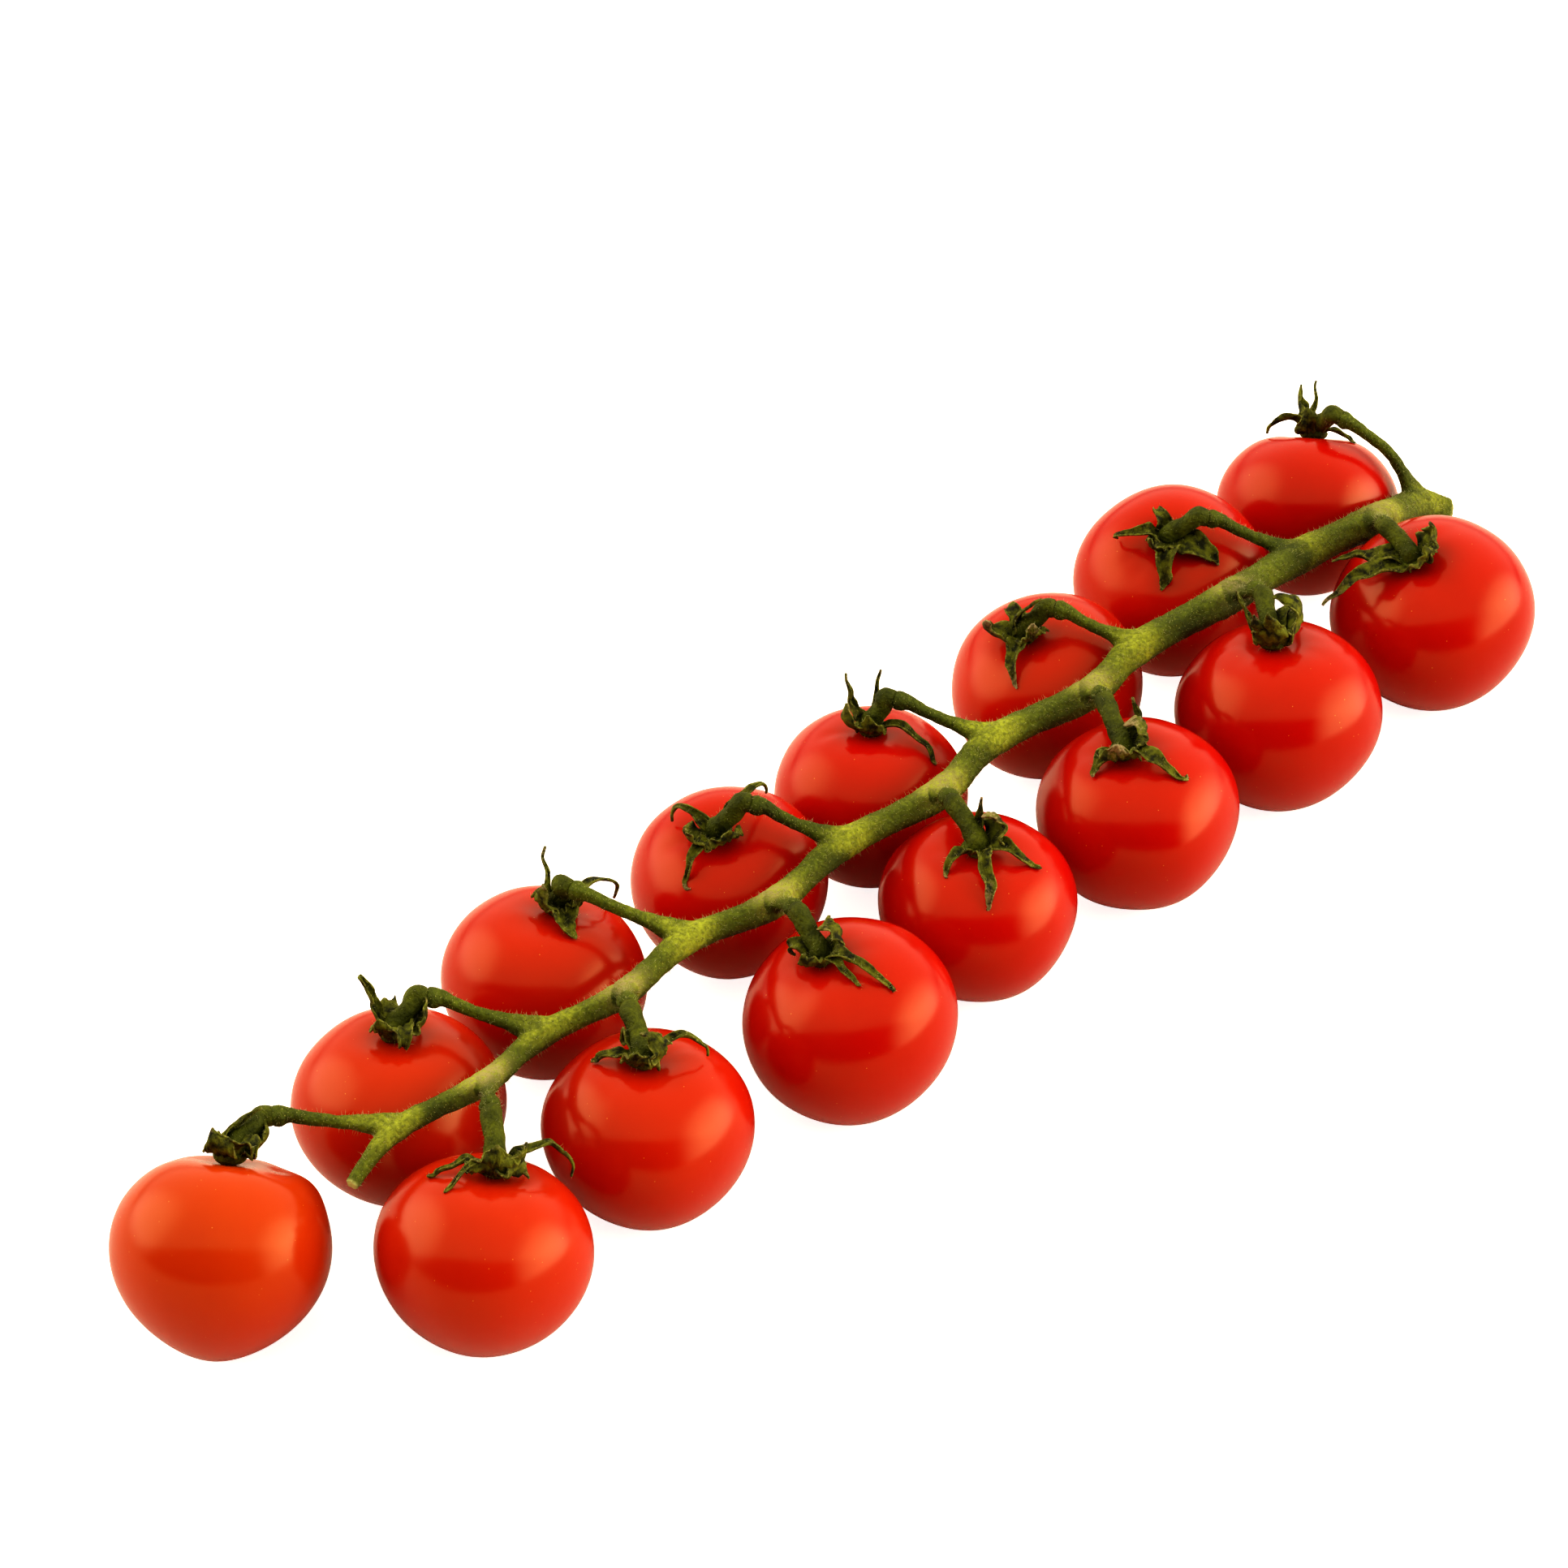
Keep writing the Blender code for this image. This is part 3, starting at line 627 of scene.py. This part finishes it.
def sepal_points(row, fruit, draws, detail):
    """One sepal's points in the fruit's upright frame, row by row from root to tip, each with how far along
    and how far from the middle it is."""
    form, way, length, breadth = row
    course = sepal_course(form, length, fruit.across / 2)
    sweep = math.radians(SEPAL_SWEEP * (2 * draws[0] - 1))
    twist = math.radians((LYING_TWIST if form in LYING else SEPAL_TWIST) * (2 * draws[1] - 1))
    width = SEPAL_HALF_WIDTH * breadth * (SEPAL_WIDTHS[0] + (SEPAL_WIDTHS[1] - SEPAL_WIDTHS[0]) * draws[2])
    tip = STUB_TIP if form == "stub" else SEPAL_TIP
    base = math.radians(way - fruit.towards)
    waves = detail.uniform(*EDGE_WAVES)
    start = detail.uniform(0, math.tau)
    folding, tapering = SEPAL_FORMS[form][3:]
    folding *= detail.uniform(*FOLDED)
    place = noise_place(detail)
    radius = fruit.across / 2
    centres = []
    sides = []
    for number, (out, high) in enumerate(course):
        angle = base + sweep * (number / SEPAL_STATIONS) ** 2
        centres.append(Vector((math.cos(angle) * out, math.sin(angle) * out, high)))
        sides.append(Vector((-math.sin(angle), math.cos(angle), 0)))
    rows = []
    for number, centre in enumerate(centres):
        along = number / SEPAL_STATIONS
        ahead = (centres[min(number + 1, SEPAL_STATIONS)] - centres[max(number - 1, 0)]).normalized()
        side = Matrix.Rotation(twist * along, 3, ahead) @ sides[number]
        side = (side - ahead * side.dot(ahead)).normalized()
        lift = ahead.cross(side)
        opened = math.sin(math.pi * min(0.5, 2 * along))
        spread = SEPAL_ROOT_WIDTH + (1 - SEPAL_ROOT_WIDTH) * opened
        half = tip + (width * spread - tip) * (1 - along ** tapering)
        fold = (FOLD_ROOT + (FOLD_TIP - FOLD_ROOT) * along) * folding
        for column in range(SEPAL_COLUMNS + 1):
            off = 2 * column / SEPAL_COLUMNS - 1
            beside = half / fold * math.sin(off * fold)
            raised = half / fold * (1 - math.cos(off * fold))
            raised += EDGE_WAVE * half * off ** 2 * math.sin(math.tau * waves * along + start + off)
            raised += VEIN_HEIGHT * half * math.cos(VEINS * math.pi * off)
            raised -= RIB_DEPTH * math.exp(-((off / RIB_WIDTH) ** 2)) * (1 - along)
            point = centre + side * beside + lift * raised
            crumpled = min(1, CRUMPLED_ROOT + CRUMPLE_GROWTH * along)
            for strength, size in CRUMPLES:
                point += noise.noise_vector(point / size + place) * strength * crumpled
            lowest = skin_height(math.hypot(point.x, point.y), radius) + SEPAL_REST
            point.z = max(point.z, lowest)
            rows.append((point, along, abs(off)))
    return rows


def calyx_leaf(mottle):
    """Dried leaf, from its attributes: along, edge and dryness."""
    made, tree, shader = new_finish("calyx_leaf", 0.72)
    place = add_node(tree, "TexCoord").outputs["Object"]
    along = surface_value(tree, "along")
    edge = surface_value(tree, "edge")
    dryness = surface_value(tree, "dryness")
    patches = apply_effect(tree, mottle, {"Place": place, "Size": 0.0014, "Contrast": 4.0, "Detail": 5.0})
    fine = apply_effect(tree, mottle, {"Place": place, "Size": 0.0005, "Contrast": 3.0})
    green = blend_colours(tree, patches, SEPAL_DARK, SEPAL_GREEN)
    rim = calculate(tree, "MULTIPLY", between(tree, edge, *RIM_CLIMB), between(tree, fine, *RIM_PATCHES))
    green = blend_colours(tree, rim, green, SEPAL_EDGE)
    patch_drying = calculate(tree, "MULTIPLY", fine, PATCH_DRYING)
    drying = calculate(tree, "ADD", patch_drying, calculate(tree, "MULTIPLY", along, TIP_DRYING))
    drying = between(tree, calculate(tree, "ADD", drying, dryness), *TAN_CLIMB)
    tree.links.new(blend_colours(tree, drying, green, SEPAL_DRY), shader.inputs["Base Color"])
    bump = add_node(tree, "Bump", {"Height": fine, "Strength": 0.6, "Distance": 0.00012})
    tree.links.new(bump.outputs["Normal"], shader.inputs["Normal"])
    shader.inputs["Specular IOR Level"].default_value = 0.25
    return made


def neck_bark(mottle):
    """The green of the short stalk and the disc under the sepals."""
    made, tree, shader = new_finish("neck_bark", 0.62)
    place = add_node(tree, "TexCoord").outputs["Object"]
    patches = apply_effect(tree, mottle, {"Place": place, "Size": 0.0030, "Contrast": 2.4, "Detail": 6.0})
    fine = apply_effect(tree, mottle, {"Place": place, "Size": 0.0005, "Contrast": 3.0})
    green = blend_colours(tree, patches, NECK_DARK, NECK_GREEN)
    green = blend_colours(tree, calculate(tree, "MULTIPLY", fine, 0.5), green, NECK_SHADE)
    tree.links.new(green, shader.inputs["Base Color"])
    bump = add_node(tree, "Bump", {"Height": fine, "Strength": 0.9, "Distance": 0.00016})
    tree.links.new(bump.outputs["Normal"], shader.inputs["Normal"])
    shader.inputs["Specular IOR Level"].default_value = 0.2
    return made


def mesh_from(name, points, faces):
    mesh = bpy.data.meshes.new(name)
    mesh.from_pydata([point * MM for point in points], [], faces)
    return mesh


def add_values(mesh, name, values):
    mesh.attributes.new(name, "FLOAT", "POINT").data.foreach_set("value", values)


noise.seed_set(SEED)     # so that the crumples are the same in each run
calyx_meshes = []
leaf_finish = calyx_leaf(mottle)
neck_finish = neck_bark(mottle)
for number, (fruit, growth, rows) in enumerate(zip(FRUITS, growths, SEPAL_ROWS), 1):
    node = f"calyx_{number:02d}"
    detail = random.Random(SEED + number)
    pole = fruit_pole(number, fruit)
    turn = fruit_turn(fruit)

    outer, way = stalk_course(number, fruit)[1:]
    points = [outer[0] - way * JOINT_GAP, outer[0] + way * JOINT_GAP, outer[0] + way * NECK_RISE, *outer[1:]]
    last = len(points) - 1
    radii = [NECK + (NECK_FLARE - NECK) * (place / last) ** 2 for place in range(last + 1)]
    radii[:3] = [KNUCKLE_GROOVE * share for share in NECK_START]
    line = smooth_line([with_radius(point, radius) for point, radius in zip(points, radii)], NECK_STATIONS)
    neck_points, neck_faces = tube(line, NECK_SIDES)
    neck_points = [point + noise.noise_vector(point / NECK_LUMPS) * NECK_ROUGH for point in neck_points]
    disc_points, disc_faces = disc(RECEPTACLE, seat_height(fruit.across / 2))
    start = len(neck_points)
    neck_points += [turn @ point + pole for point in disc_points]
    neck_faces += [tuple(corner + start for corner in face) for face in disc_faces]
    neck = mesh_from(node + "_neck", neck_points, neck_faces)
    place_piece(node + "_neck", neck, neck_finish, node)

    points = []
    faces = []
    along = []
    edge = []
    dryness = []
    for row, draws in zip(rows, growth.sepals):
        start = len(points)
        dry = detail.uniform(*DRYNESS) + (DRIED_MORE if number in DRIED else 0)
        for point, far, off in sepal_points(row, fruit, draws, detail):
            points.append(turn @ point + pole)
            along.append(far)
            edge.append(off)
            dryness.append(dry)
        for station in range(SEPAL_STATIONS):
            for column in range(SEPAL_COLUMNS):
                here = start + station * (SEPAL_COLUMNS + 1) + column
                above = here + SEPAL_COLUMNS + 1
                faces.append((here, above, above + 1, here + 1))
    mesh = mesh_from(node + "_sepals", points, faces)
    add_values(mesh, "along", along)
    add_values(mesh, "edge", edge)
    add_values(mesh, "dryness", dryness)
    sepals = place_piece(node + "_sepals", mesh, leaf_finish, node)
    calyx_meshes.append((node, neck, mesh))
    thick = sepals.modifiers.new("thickness", "SOLIDIFY")
    thick.thickness = SEPAL_THICK * MM
    thick.offset = 0

# The stem. The main stem and its side stalks are one green growth, thick and cut off at one end. Each stalk
# leaves it through a swelling and ends in a knuckle. The bark has fine ridges, painted light that makes its
# upper faces lighter and its undersides darker, lime patches on top from that painted light and its paler
# nodes, and pale scars where the front stalks leave it.

STEM_STATIONS = 12
NODE_SWELL = 0.16
NODE_REACH = 0.35        # reach of that swelling, as a share of the way to the next point
STEM_SIDES = 24
STALK_ROOT = 1.55
STALK_SHANK = 0.95
STALK_SHOULDER = 1.1
KNUCKLE = 1.55
KNUCKLE_REACH = 2.3
STALK_FINE = 5
STALK_SIDES = 18
WEB_REACH = 3.6          # where the web in a fork starts on the stem, and where it ends along the stalk
WEB_END = 0.42
WEB_DIP = 0.15           # how far its middle sinks into the fork
WEB_STEM = 0.70          # its radii, as shares of what it grows from
WEB_MIDDLE = 0.72
WEB_STALK = 0.92
WEB_STATIONS = 6
BARK_VOXEL = 0.30
BARK_SMOOTHING = 6
RIDGES = 5
RIDGE_HEIGHT = 0.035     # as a share of the radius
RIDGE_WANDER = 2.0       # how far the ridges wander round the stem, in radians, and how slowly
RIDGE_WAY = 9.0
BARK_ROUGH = ((0.12, 1.8), (0.07, 0.7))   # how uneven the bark is, and the size of its lumps
SCAR_REACH = 3.3
NODE_LIT = 5.5           # how far from a node the bark is paler
# STALK_LIT: how strong the painted light on a stalk's top is against the main stem's.
STALK_LIT = 0.6          # how pale a stalk's top is against the main stem's
END_REACH = 4.0          # how far from the stem's ends the cut may colour it, and how deep it does
CUT_DEPTH = 0.35

# The bark's greens, from dark to lime, are partly painted light: darker on its undersides and lime on top.
BARK_DARK = (0.034, 0.044, 0.003, 1)
BARK_GREEN = (0.135, 0.162, 0.008, 1)
BARK_LIME = (0.390, 0.420, 0.034, 1)
FLECK_PALE = (0.420, 0.400, 0.110, 1)
SCAR_PALE = (0.450, 0.360, 0.160, 1)
CUT_PALE = (0.520, 0.500, 0.170, 1)
# TOP_SHARE: how much the painted light on the bark's upper faces counts; NODE_SHARE: how much its paler nodes
# count.
TOP_SHARE = 0.35         # how much the light from above and the nodes count for the bark's colour
NODE_SHARE = 0.85
LIME_CLIMB = (0.95, 1.75)
SCAR_PATCHES = (0.2, 0.6, 0.35, 1.0)
MARK_SHARE = 0.6         # how strongly its fine patches, dots and flecks show


def main_stem_line():
    line = smooth_line([Vector(row) for row in STEM], STEM_STATIONS)
    for number, point in enumerate(line):
        point.xyz -= MIDDLE
        node = round(number / STEM_STATIONS)
        off = (number / STEM_STATIONS - node) / NODE_REACH
        if 0 < node < len(STEM) - 1:
            point[3] *= 1 + NODE_SWELL * math.exp(-(off ** 2))
    return line


def stalk_line(number, fruit):
    points, _, way = stalk_course(number, fruit)
    groove = points[-1]
    points = [*points[:-2], groove - way * KNUCKLE_REACH, groove - way * KNUCKLE_REACH / 2, groove]
    radii = [STALK_ROOT, (STALK_ROOT + STALK_SHANK) / 2, *[STALK_SHANK] * (len(points) - 5),
             STALK_SHOULDER, KNUCKLE, KNUCKLE_GROOVE]
    return smooth_line([with_radius(point, radius) for point, radius in zip(points, radii)], STALK_FINE)


def web_line(number, stalk):
    """The web that fills the corner between a stalk and the stem, on the side of the cut end."""
    root = Vector(STEM[number][:3]) - MIDDLE
    ahead = (Vector(STEM[number + 1][:3]) - MIDDLE - root).normalized()
    start = root + ahead * WEB_REACH
    end = stalk[round(len(stalk) * WEB_END)]
    middle = start.lerp(end.xyz, 0.5) + (root - start) * WEB_DIP
    points = (start, middle, end.xyz)
    radii = (STEM[number][3] * WEB_STEM, STALK_ROOT * WEB_MIDDLE, end[3] * WEB_STALK)
    return smooth_line([with_radius(point, radius) for point, radius in zip(points, radii)], WEB_STATIONS)


def grown_together(name, tubes):
    """One smooth skin over tubes that cross each other."""
    points = []
    faces = []
    for line, sides in tubes:
        start = len(points)
        more_points, more_faces = tube(line, sides)
        points += more_points
        faces += [tuple(corner + start for corner in face) for face in more_faces]
    rough = bpy.data.objects.new(name, mesh_from(name, points, faces))
    bpy.context.scene.collection.objects.link(rough)
    fused = rough.modifiers.new("fused", "REMESH")
    fused.mode = "VOXEL"
    fused.voxel_size = BARK_VOXEL * MM
    soft = rough.modifiers.new("soft", "SMOOTH")
    soft.factor = 0.5
    soft.iterations = BARK_SMOOTHING
    graph = bpy.context.evaluated_depsgraph_get()
    graph.update()
    mesh = bpy.data.meshes.new_from_object(rough.evaluated_get(graph))
    bpy.data.objects.remove(rough, do_unlink=True)
    mesh.name = name
    return mesh


def bark_finish(mottle, specks):
    made, tree, shader = new_finish("stem_bark", 0.6)
    place = add_node(tree, "TexCoord").outputs["Object"]
    patches = apply_effect(tree, mottle, {"Place": place, "Size": 0.012, "Contrast": 2.2, "Detail": 6.0})
    fine = apply_effect(tree, mottle, {"Place": place, "Size": 0.0006, "Contrast": 3.2, "Detail": 4.0})
    top = surface_value(tree, "top")
    # Painted light: the top attribute paints the bark lighter where it faces up and darker below, added to
    # its own patches.
    painted_light_and_patches = calculate(tree, "ADD", calculate(tree, "MULTIPLY", top, TOP_SHARE), patches)
    green = blend_colours(tree, between(tree, painted_light_and_patches, 0.0, 1.0), BARK_DARK, BARK_GREEN)
    node = surface_value(tree, "node")
    # Lime comes from painted light on the upper faces together with the bark's paler tone near the nodes.
    nodes_and_painted_light = calculate(tree, "ADD", calculate(tree, "MULTIPLY", node, NODE_SHARE), painted_light_and_patches)
    green = blend_colours(tree, between(tree, nodes_and_painted_light, *LIME_CLIMB), green, BARK_LIME)
    green = blend_colours(tree, calculate(tree, "MULTIPLY", fine, MARK_SHARE), green, BARK_DARK)
    dots = apply_effect(tree, specks, {"Place": place, "Spacing": 0.0009, "Radius": 0.00015, "Share": 0.6})
    green = blend_colours(tree, calculate(tree, "MULTIPLY", dots, MARK_SHARE), green, BARK_DARK)
    flecks = apply_effect(tree, specks, {"Place": place, "Spacing": 0.0005, "Radius": 0.00009, "Share": 0.8})
    green = blend_colours(tree, calculate(tree, "MULTIPLY", flecks, MARK_SHARE), green, FLECK_PALE)
    scars = calculate(tree, "MULTIPLY", surface_value(tree, "scar"), between(tree, fine, *SCAR_PATCHES))
    green = blend_colours(tree, scars, green, SCAR_PALE)
    green = blend_colours(tree, surface_value(tree, "cut"), green, CUT_PALE)
    tree.links.new(green, shader.inputs["Base Color"])
    bump = add_node(tree, "Bump", {"Height": fine, "Strength": 0.9, "Distance": 0.00018})
    tree.links.new(bump.outputs["Normal"], shader.inputs["Normal"])
    shader.inputs["Specular IOR Level"].default_value = 0.2
    return made


stem_line = main_stem_line()
stalk_lines = [stalk_line(number, fruit) for number, fruit in enumerate(FRUITS, 1)]
webs = [web_line(number, line) for number, line in enumerate(stalk_lines, 1)]
tubes = [(stem_line, STEM_SIDES), *[(line, STALK_SIDES) for line in stalk_lines + webs]]
mesh = grown_together("stem", tubes)

# Each point of the bark finds the nearest place on a middle line, and moves in or out from there.
Along = namedtuple("Along", "place way radius is_main")
places = []
for number, line in enumerate([stem_line, *stalk_lines]):
    for before, here, after in zip([line[0], *line], line, [*line[1:], line[-1]]):
        places.append(Along(here.xyz, (after.xyz - before.xyz).normalized(), here[3], number == 0))
tree_of_places = KDTree(len(places))
for number, along in enumerate(places):
    tree_of_places.insert(along.place, number)
tree_of_places.balance()
scar_places = [Vector(row[:3]) - MIDDLE for row in STEM[2:-1:2]]
ends = (stem_line[0].xyz, stem_line[-1].xyz)
node_places = [Vector(row[:3]) - MIDDLE for row in STEM[1:-1]]
top = []
node = []
scar = []
cut = []
for vertex in mesh.vertices:
    point = vertex.co / MM
    along = places[tree_of_places.find(point)[1]]
    off = point - along.place
    off -= along.way * off.dot(along.way)
    outward = off.normalized()
    level = along.way.cross(UP).normalized()
    turn = math.atan2(outward.z, outward.dot(level))
    rough = sum(strength * noise.noise(point / size) for strength, size in BARK_ROUGH)
    ridge = math.cos(RIDGES * turn + RIDGE_WANDER * noise.noise(point / RIDGE_WAY))
    point += outward * (rough + RIDGE_HEIGHT * along.radius * ridge)
    nearest = min((point - place).length for place in scar_places)
    scarred = math.exp(-((nearest / SCAR_REACH) ** 2)) * max(0.0, outward.z)
    # Painted light: how far the bark faces up, weaker on the stalks, so that its top is painted lighter.
    top.append(outward.z * (1.0 if along.is_main else STALK_LIT))
    node_off = min((point - place).length for place in node_places)
    node.append(math.exp(-((node_off / NODE_LIT) ** 2)))
    scar.append(scarred)
    end_off = END_REACH
    for end in ends:
        if (point - end).length < END_REACH:
            end_off = abs((point - end).dot(along.way))
    cut.append(math.exp(-((end_off / CUT_DEPTH) ** 2)))
    vertex.co = point * MM
add_values(mesh, "top", top)
add_values(mesh, "node", node)
add_values(mesh, "scar", scar)
add_values(mesh, "cut", cut)
bark = mesh
place_piece("stem_bark", bark, bark_finish(mottle, specks), "stem")

# The hairs. Fine pale hairs grow all over the stem, the stalks, the necks and the sepals. Each is a slim cone
# whose root is sunk in the bark or the leaf.

STEM_HAIRS = 7000
NECK_HAIRS = 130
SEPAL_HAIRS = 170
HAIR_LENGTHS = (0.3, 1.05)
HAIR_ROOT = 0.026
HAIR_SINK = 0.08
HAIR_LEAN = 0.35
HAIR_PALE = (0.50, 0.48, 0.22, 1)


def hair_finish():
    made, tree, shader = new_finish("hair_pale", 0.5)
    shader.inputs["Base Color"].default_value = HAIR_PALE
    return made


def add_hairs(points, faces, mesh, count, detail):
    """Hairs that grow from so many of a mesh's points, with no order to them."""
    for _ in range(count):
        skin_point = mesh.vertices[detail.randrange(len(mesh.vertices))]
        outward = Vector([round(share, 4) for share in skin_point.normal])   # rounded, the same in each run
        root = skin_point.co / MM - outward * HAIR_SINK
        lean = Vector([detail.gauss(0, HAIR_LEAN) for _ in range(3)])
        way = (outward + lean).normalized()
        across = way.orthogonal().normalized() * HAIR_ROOT
        first = len(points)
        for corner in range(3):
            points.append(root + Matrix.Rotation(math.tau * corner / 3, 3, way) @ across)
        points.append(root + way * detail.uniform(*HAIR_LENGTHS))
        faces += [(first, first + 1, first + 3), (first + 1, first + 2, first + 3),
                  (first + 2, first, first + 3), (first + 2, first + 1, first)]


hairs = hair_finish()
detail = random.Random(SEED)
points = []
faces = []
add_hairs(points, faces, bark, STEM_HAIRS, detail)
place_piece("stem_hairs", mesh_from("stem_hairs", points, faces), hairs, "stem")
for node, neck, sepals in calyx_meshes:
    points = []
    faces = []
    add_hairs(points, faces, neck, NECK_HAIRS, detail)
    add_hairs(points, faces, sepals, SEPAL_HAIRS, detail)
    place_piece(node + "_hairs", mesh_from(node + "_hairs", points, faces), hairs, node)

# The table, the light and the camera. The table is plain and pale. A bright ceiling lights the truss, with a
# window and a large soft light low on the right, and a dimmer window on the left. The camera stands where the
# photo was taken.

TABLE_HALF = 3.0
TABLE_COLOUR = (0.78, 0.70, 0.60, 1)
TABLE_GLOW = 0.94
WARM = (1.0, 0.92, 0.78)
ROOM = 1.80
ROOM_DARK = 0.04
CEILING_EDGE = 0.855     # how steeply the edge of the bright ceiling rises on the camera's side
EDGE_CLIMB = (-0.03, 0.04)        # how soft that edge is
WALL_CLIMB = (0.02, 0.30, 0.35)   # between which heights the walls brighten, and how bright they start
WINDOWS = (((0.56, -0.82, 0.12), 0.72, 6.0), ((-0.49, 0.77, 0.41), 0.78, 3.2))   # way, edge, brightness
RIGHT_BOX = ((0.56, -0.80, 0.22), 0.80, (0.60, 0.34), 0.8)   # way, distance, size, radiance
EXPOSURE = -0.68
CAMERA_AIM = Vector((-6.08, 25.82, 15))
CAMERA_AZIMUTH = math.radians(-46.33)
CAMERA_ELEVATION = math.radians(37)
CAMERA_DISTANCE = 700
CAMERA_LENS = 106.03


def table_top():
    bpy.ops.mesh.primitive_plane_add(size=2 * TABLE_HALF, location=(0, 0, 0))
    table = bpy.context.object
    table.name = "table"
    made, tree, shader = new_finish("table_paint", 0.8)
    shader.inputs["Base Color"].default_value = TABLE_COLOUR
    shader.inputs["Specular IOR Level"].default_value = 0.1
    seen = add_node(tree, "LightPath").outputs["Is Camera Ray"]
    shown = blend_colours(tree, seen, (0, 0, 0, 1), (1, 1, 1, 1))
    tree.links.new(shown, shader.inputs["Emission Color"])
    shader.inputs["Emission Strength"].default_value = TABLE_GLOW
    table.data.materials.append(made)


def softbox(name, way, distance, size, radiance):
    """A rectangular light that faces the truss, as bright as its radiance says."""
    light = bpy.data.lights.new(name, "AREA")
    light.shape = "RECTANGLE"
    light.size = size[0]
    light.size_y = size[1]
    light.energy = radiance * math.pi * size[0] * size[1]
    light.color = WARM
    lamp = bpy.data.objects.new(name, light)
    way = Vector(way).normalized()
    lamp.location = way * distance
    lamp.rotation_euler = way.to_track_quat("Z", "Y").to_euler()
    bpy.context.scene.collection.objects.link(lamp)


def room_light(camera_side):
    """The pale ceiling and walls that light the truss. They are dark low down, and on the camera's side up to
    the ceiling's edge, where only the gloss of the fruits shows it."""
    world = bpy.data.worlds.new("room")
    world.use_nodes = True
    bpy.context.scene.world = world
    tree = world.node_tree
    way = add_node(tree, "TexCoord").outputs["Generated"]
    edge = tuple((UP - camera_side * CEILING_EDGE).normalized())
    over = add_node(tree, "VectorMath", {0: way, 1: edge}, operation="DOT_PRODUCT").outputs["Value"]
    high = add_node(tree, "VectorMath", {0: way, 1: tuple(UP)}, operation="DOT_PRODUCT").outputs["Value"]
    bright = calculate(tree, "MULTIPLY", between(tree, over, *EDGE_CLIMB), between(tree, high, *WALL_CLIMB))
    seen = add_node(tree, "LightPath").outputs["Is Camera Ray"]
    bright = add_node(tree, "Math", {0: bright, 1: seen}, operation="MAXIMUM").outputs[0]
    strength = between(tree, bright, 0.0, 1.0, ROOM_DARK, ROOM)
    for window_way, rim, brightness in WINDOWS:
        middle = tuple(Vector(window_way).normalized())
        near = add_node(tree, "VectorMath", {0: way, 1: middle}, operation="DOT_PRODUCT").outputs["Value"]
        glow = calculate(tree, "MULTIPLY", between(tree, near, rim, 1.0), brightness)
        strength = calculate(tree, "ADD", strength, glow)
    tree.links.new(strength, tree.nodes["Background"].inputs["Strength"])
    tree.nodes["Background"].inputs["Color"].default_value = (*WARM, 1)


def photo_camera(back):
    camera = bpy.data.objects.new("camera", bpy.data.cameras.new("camera"))
    camera.data.lens = CAMERA_LENS
    camera.data.sensor_width = 36
    camera.data.clip_start = 0.05
    camera.data.clip_end = 20
    camera.location = (CAMERA_AIM - MIDDLE + back * CAMERA_DISTANCE) * MM
    camera.rotation_euler = (-back).to_track_quat("-Z", "Y").to_euler()
    bpy.context.scene.collection.objects.link(camera)
    bpy.context.scene.camera = camera


table_top()
softbox("softbox_right", *RIGHT_BOX)
level_back = Vector((math.sin(CAMERA_AZIMUTH), -math.cos(CAMERA_AZIMUTH), 0))
room_light(level_back)
photo_camera(level_back * math.cos(CAMERA_ELEVATION) + UP * math.sin(CAMERA_ELEVATION))
bpy.context.scene.view_settings.view_transform = "Standard"
bpy.context.scene.view_settings.look = "High Contrast"
bpy.context.scene.view_settings.exposure = EXPOSURE
